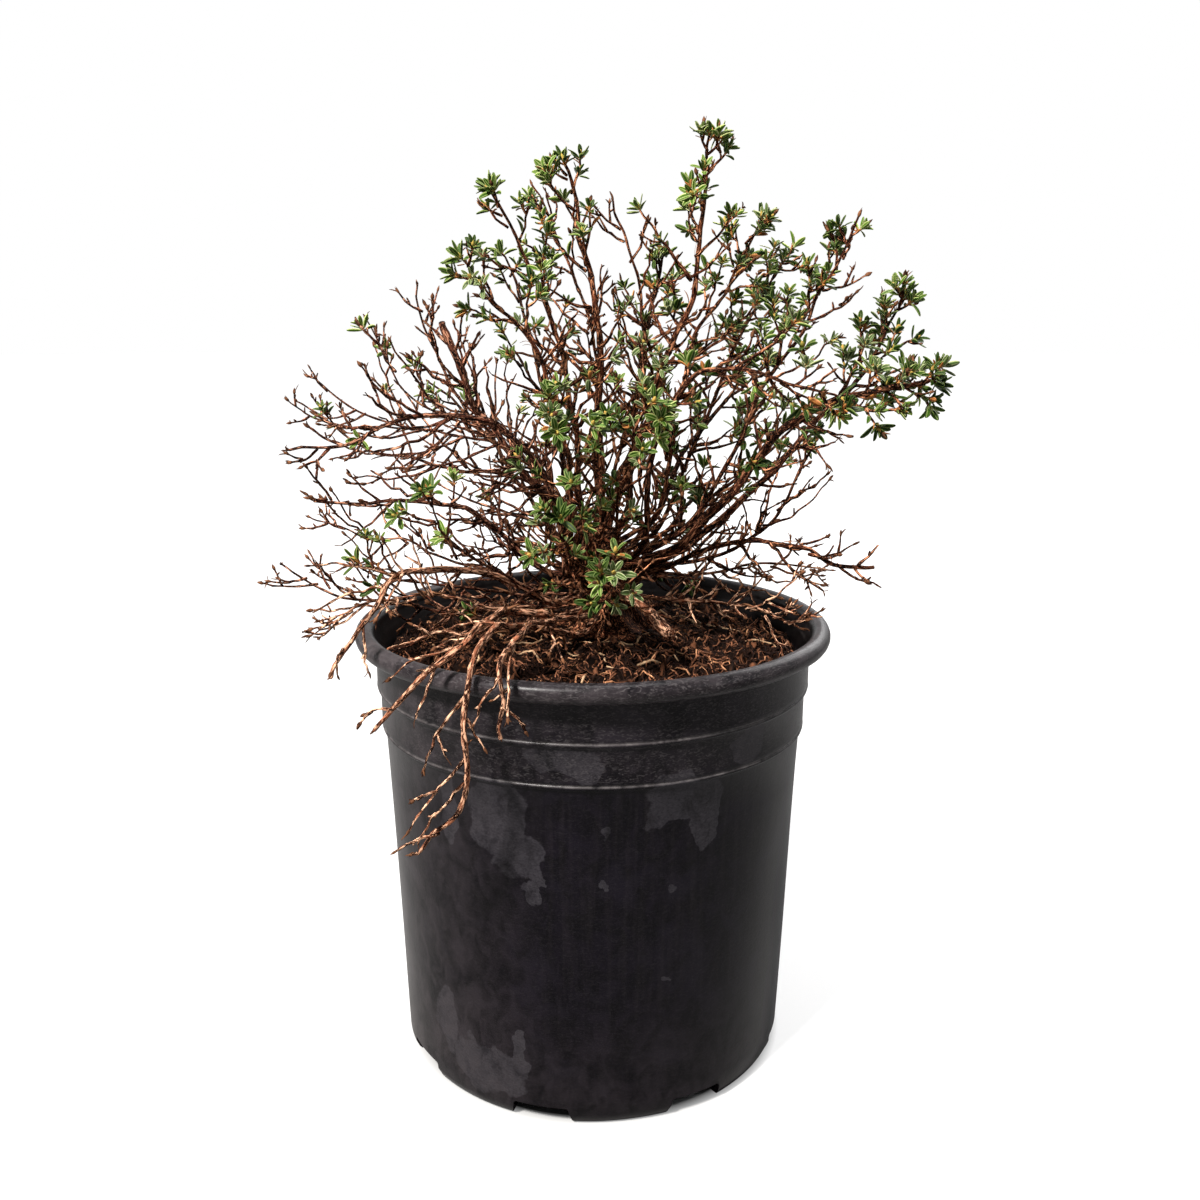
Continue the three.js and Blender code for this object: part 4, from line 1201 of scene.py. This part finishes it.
def add_whorl(leaves, buds, at, axis, size, rng):
    """A rosette of leaves round the end of a shoot: wide and long below, short and steep above."""
    n, m = across(axis)
    count = int(rng.integers(6, 11))
    phase = rng.uniform(0, tau)
    piece = leaves[rng.choice(GREEN_LEAVES, p=GREEN_SHARES)]
    for i in range(count):
        inner = i / (count - 1)
        out = swing(n, m, phase + i * GOLDEN)
        foot = at - axis * (2.2 * (1 - inner)) + out * 0.3
        length = size * (8.9 - 2.6 * inner) * rng.uniform(0.82, 1.1)
        add_leaf(piece, foot, out, axis, radians(16 + 46 * inner + rng.uniform(-14, 12)), length, rng)
    if rng.random() < SCALY:
        for i in range(int(rng.integers(3, 7))):
            out = swing(n, m, phase + i * GOLDEN)
            foot = at - axis * rng.uniform(1.5, 4)
            rise = rng.uniform(0.2, 1.2)
            add_leaf(leaves["leaves_dry"], foot, out, axis, rise, size * rng.uniform(3, 5.5), rng)
    add_bud(buds, at, axis, BUD_STEPS, BUD_RADII, size, 0.3, rng.uniform(0, 9))


def add_lone_leaves(leaves, path, count, rng):
    """Single leaves along the upper part of a leafy shoot, some of them dry and curled."""
    for _ in range(count):
        i = int(rng.integers(len(path) // 3, len(path) - 1))
        axis = unit(path[i + 1] - path[i])
        out = swing(*across(axis), rng.uniform(0, tau))
        name = "leaves_dry" if rng.random() < 0.25 else rng.choice(GREEN_LEAVES)
        rise = rng.uniform(0.2, 1.0)
        add_leaf(leaves[name], path[i] + out * 0.5, out, axis, rise, rng.uniform(4.5, 8), rng)


def add_bare_tip(husks, at, axis, rng):
    """The end of a bare twig: mostly a small bud, with a few dried scales that curl from it."""
    size = rng.uniform(0.7, 1.35)
    if rng.random() < 0.75:
        add_bud(husks, at, axis, HUSK_STEPS, HUSK_RADII, size, 0.4, rng.uniform(0, 90))
    for i in range(int(rng.integers(0, 4))):
        out = swing(*across(axis), i * GOLDEN + rng.uniform(0, 3))
        along = unit(axis + out * rng.uniform(0.15, 0.7))
        husks.blade(SMALL_BLADE, at, along, square_to(along, out), rng.uniform(1.6, 5.2),
                    rng.uniform(0.6, 1.5), rng.uniform(-1.4, 0.9), 0.4, 0.2, rng.uniform(0, 9))


# The masses: twigs carried on from the limbs by the source's rule


def group_of(name):
    """Which joined piece a mass's twigs belong to."""
    start = name.split("_")[0]
    if start in ("hang", "cut") or name in ("left_rim", "left_droop", "right_rim", "right_trail"):
        return "hang"
    return start if start in ("left", "right", "back") else "middle"


def open_space(stems, own):
    """A looser space for the finer twigs: clear of the pot, and not far inside another's space."""

    def inside(p, margin):
        if not clear_of_pot(p, margin + 0.2):
            return False
        far = stems.distances(p)
        return far[stems.owner == own].min() < far.min() + ROAM

    return inside


def finer(twigs, laid, space, seed, counts, lift, leafy):
    """Twigs that leave other twigs, by the same rule. counts says how many each one in turn bears."""
    more = []
    for k, twig in enumerate(twigs):
        count = counts[k % len(counts)]
        spin = laid.index + k * 1.7
        more += bear(twig.path, twig.ends, count, seed + k * 31, "second", lift, space, spin, leafy)
    return more


def finer_counts(laid):
    if laid.hang:
        return (1, 0, 0)
    if laid.lush <= 1:
        return (1, 0, 1)
    return (1, 1, 1, 2) if laid.lush <= 2 else (2, 1, 2)


def grow_limb(laid, space, free):
    """Every twig of one limb: along its stem, on those twigs, low on the limb, and across the gaps."""
    index, leafy, lush, hang = laid.index, laid.leafy, laid.lush, laid.hang
    lift = -TWIG_LIFT if hang else TWIG_LIFT
    fine_leafy = min(FINE_LEAFY, FINE_LEAFY * leafy * lush)
    seeds = {name: TWIG_SEED + index * 101 + step for name, step in SEED_STEPS.items()}
    stem, lower = (laid.stem, laid.stem_radii), (laid.lower, laid.lower_radii)
    start = laid.start
    grown = bear(*stem, laid.twigs, seeds["first"], "first", lift, space, index, leafy, start)
    spin = index + 2.1
    if leafy > MORE_ABOVE:
        count = round(laid.twigs * 0.5 * lush)
        grown += bear(*stem, count, seeds["more"], "more", lift, free, spin, fine_leafy, start)
    else:
        count = 1 if hang else 3
        grown += bear(*stem, count, seeds["more"], "whip", lift, free, spin, 0, start * 0.8)
    grown += finer(grown, laid, free, seeds["second"], finer_counts(laid), lift, fine_leafy * 0.8)
    if leafy <= SPURS_UPTO:
        for k, twig in enumerate(list(grown)):
            if k % 3:
                seed = seeds["spur"] + k * 13
                grown += bear(twig.path, twig.ends, 1, seed, "spur", lift * 0.3, free, k * 2.0)
    count = 2 if hang else round(4 * min(lush, 2))
    low = bear(*lower, count, seeds["low"], "low", lift, free, index * 2.2, fine_leafy * 0.8)
    low += finer(low, laid, free, seeds["on_low"], (1, 0, 1), lift, 0.5 * fine_leafy)
    count = 0 if hang else CROSSING.get(laid.name.split("_")[0], CROSSING_REST)
    cross = bear(*lower, count, seeds["cross"], "cross", 0.2, free, index * 1.3 + 1)
    cross += finer(cross, laid, free, seeds["on_cross"], (1, 1, 0), 0.1, 0.3 * fine_leafy)
    return grown + low + cross


def grow_all(laid_limbs):
    """Every twig of the shrub, with the limb that it belongs to."""
    bearing = laid_limbs[:-1]
    stems = Paths([laid.stem for laid in bearing])
    boughs = [laid for laid in bearing if laid.bough]
    stub = laid_limbs[-1]
    wood_paths = [[trunk_axis(SEATS_LOW), trunk_axis(SEATS_HIGH)], *[laid.lower for laid in boughs]]
    wood = Paths(wood_paths + [stub.whole])
    wood_radii = np.array([TRUNK_RADIUS] + [laid.radius for laid in boughs + [stub]])
    grown = []
    for laid in bearing:
        space = make_space(laid.index, stems, wood, wood_radii)
        grown += [(laid, twig) for twig in grow_limb(laid, space, open_space(stems, laid.index))]
    return grown


# The bark's furrows, ridges and bright strips by group, the strips being torn bark and painted highlights,
# and how much of it the strips cover.
BARKS = {
    "hang": ((0.01, 0.0034, 0.0022), (0.31, 0.112, 0.058), (0.9, 0.53, 0.34), 0.1),
    "left": ((0.0035, 0.0012, 0.0009), (0.135, 0.042, 0.023), (0.74, 0.36, 0.22), 0.045),
    "right": ((0.002, 0.0007, 0.0005), (0.1, 0.029, 0.015), (0.68, 0.29, 0.15), 0.045),
    "middle": ((0.002, 0.0007, 0.0005), (0.125, 0.035, 0.016), (0.74, 0.32, 0.16), 0.055),
    "back": ((0.0025, 0.0009, 0.0006), (0.07, 0.024, 0.013), (0.46, 0.22, 0.12), 0.025),
}
# How light the limbs' ridges are next to the twigs', and how bright their strips of torn bark and painted
# highlight are.
LIMB_SHADE = {"hang": 1.2, "left": 0.85, "right": 0.85, "middle": 1.0, "back": 0.75}
LIMB_TORN_AND_HIGHLIT = 0.6


def limb_bark(group):
    """The bark of the limbs themselves, whose strips of torn bark and painted highlight are less bright
    than the twigs'.
    """
    dark, light, bright, torn_and_highlit_share = BARKS[group]
    shaded = tuple(c * LIMB_SHADE[group] for c in light)
    torn_and_highlit = tuple(a * (1 - LIMB_TORN_AND_HIGHLIT) + b * LIMB_TORN_AND_HIGHLIT for a, b in zip(light, bright))
    return bark_material("limb_bark_" + group, dark, shaded, torn_and_highlit, torn_and_highlit_share)


def add_twig(laid, twig, twigs, leaves, buds, husks, rng):
    """One twig with what it bears: whorls and single leaves, or a bare tip."""
    path, shares = smooth(twig.path, 2.4)
    length = path_length(twig.path)
    path = crooked(path, min(1.1, length * 0.035), 3, rng)
    radii = twig.ends[0] + (twig.ends[1] - twig.ends[0]) * shares
    joints = np.arange(len(radii)) % 3 == 1
    radii = radii * (1 + np.where(joints, rng.uniform(0, 0.4, len(radii)), 0))
    twigs[group_of(laid.name)].tube(path, radii, 6, tip=0.5, tone=rng.uniform(0, 400))
    axis = unit(path[-1] - path[-2])
    if not twig.leafy:
        if twig.order != "spur":
            add_bare_tip(husks, path[-1], axis, rng)
        return
    add_whorl(leaves, buds, path[-1], axis, rng.uniform(0.68, 1.05), rng)
    if rng.random() < 0.3:
        add_bare_tip(husks, path[-1] + axis * 3, axis, rng)
    if length > 14 and rng.random() < 0.34 * laid.lush:
        i = len(path) * 5 // 8
        add_whorl(leaves, buds, path[i], unit(path[i + 1] - path[i]), rng.uniform(0.55, 0.8), rng)
    if length > 8 and laid.lush > 0.5:
        add_lone_leaves(leaves, path, int(rng.integers(1, 4)), rng)


def build_shrub():
    everyone = LIMBS + [STUB]
    seats = trunk_seats(everyone)
    laid_limbs = [lay_limb(one, i, seats[i]) for i, one in enumerate(everyone)]
    limb_barks = {group: limb_bark(group) for group in BARKS}
    build_trunk(limb_barks["middle"])

    rng = np.random.default_rng(11)
    limbs = {group: Gather() for group in BARKS}
    twigs = {group: Gather() for group in BARKS}
    leaves = {name: Gather() for name in LEAF_COLOURS}
    shreds, buds, husks = Gather(), Gather(), Gather()
    for laid in laid_limbs:
        path, radii = add_limb(limbs[group_of(laid.name)], laid, rng)
        add_shreds(shreds, path, radii, rng)
    for laid in laid_limbs[:-1]:
        end = laid.whole[-1]
        axis = unit(end - laid.whole[-2])
        if laid.leafy > 0.5:
            add_whorl(leaves, buds, end, axis, 1.1, rng)
        elif not laid.blunt:
            add_bare_tip(husks, end, axis, rng)
    for laid, twig in grow_all(laid_limbs):
        add_twig(laid, twig, twigs, leaves, buds, husks, rng)

    for group, colours in BARKS.items():
        members = [one for one in LIMBS if group_of(one.name) == group]
        boughs = ["bough_" + one.name for one in members if one.bough]
        if group == group_of(STUB.name):
            boughs.append(STUB.name)
        masses = ["mass_" + one.name for one in members]
        put("limbs_" + group, limbs[group], limb_barks[group], boughs)
        put("twigs_" + group, twigs[group], bark_material("bark_" + group, *colours), masses)
    put_fine("bark_shreds", shreds)
    for name, colours in LEAF_COLOURS.items():
        put(name, leaves[name], leaf_material(name, *colours))
    put_fine("whorl_buds", buds)
    put_fine("bare_buds", husks)


# The studio: a pale floor, soft lights and the camera

# Each light's place, size, power and colour.
LIGHTS = {
    "key": ((-0.8, -1.1, 1.7), 0.28, 106, (1, 0.97, 0.93)),
    "fill": ((1.5, -0.7, 1.1), 0.7, 4, (0.95, 0.97, 1)),
    "top": ((0.2, 0.3, 1.9), 0.6, 14, (1, 1, 1)),
    "back": ((0.9, 1.3, 1.3), 1.2, 26, (1, 1, 1)),
}
LIGHTS_AIM = Vector((0, 0, 0.25))
WHITE = (1, 1, 1)


def build_floor():
    """A round floor that glows for the camera, so that it ends in white, but not under the pot."""
    a = angles_round(FLOOR_SIDES)
    rim = np.stack([np.cos(a), np.sin(a), np.zeros(FLOOR_SIDES)], 1) * FLOOR_RADIUS / MM
    points = np.vstack([rim, [[0, 0, 0]]])
    j = np.arange(FLOOR_SIDES)
    tris = np.stack([j, (j + 1) % FLOOR_SIDES, np.full(FLOOR_SIDES, FLOOR_SIDES)], 1)
    gather = Gather()
    gather.add(points, np.zeros((0, 4), int), tris, points * MM)
    floor = link("floor", make_mesh("floor", gather))
    material, net = new_material("floor", 0.9, 0.1)
    floor.data.materials.append(material)
    away = net.length(net.place())
    glow = net.add("MapRange", {"Value": away, "From Min": GLOW_RISE[0], "From Max": GLOW_RISE[1],
                                "To Min": FLOOR_GLOW[0], "To Max": FLOOR_GLOW[1]})[0]
    seen = net.add("LightPath")["Is Camera Ray"]
    strength = net.times(glow, net.ramp(away, *UNDER_POT), seen)
    net.shade({"Base Color": FLOOR_COLOUR, "Emission Color": WHITE, "Emission Strength": strength})


def build_surroundings():
    """White to the camera and in what shines, and dim as a light."""
    world = bpy.data.worlds.new("studio")
    world.use_nodes = True
    net = Net(world.node_tree)
    rays = net.add("LightPath")
    strength = net.most(rays["Is Glossy Ray"], rays["Is Camera Ray"], WORLD_LIGHT)
    net.feed(world.node_tree.nodes["Background"], {"Color": WHITE, "Strength": strength})
    bpy.context.scene.world = world


def build_lights():
    for name, (place, size, power, colour) in LIGHTS.items():
        light = bpy.data.lights.new(name, "AREA")
        light.size = size
        light.energy = power
        light.color = colour
        lamp = link(name, light)
        lamp.location = place
        lamp.rotation_euler = (LIGHTS_AIM - Vector(place)).to_track_quat("-Z", "Y").to_euler()


def build_camera():
    camera = link("camera", bpy.data.cameras.new("camera"))
    camera.data.lens = LENS
    camera.data.shift_x = SHIFT
    camera.location = CAMERA_PLACE
    camera.rotation_euler = (pi / 2 - CAMERA_DOWN, 0, 0)
    bpy.context.scene.camera = camera
    bpy.context.scene.view_settings.view_transform = "Standard"


build_camera()
build_floor()
build_surroundings()
build_lights()
build_pot()
build_mix()
build_litter()
build_shrub()
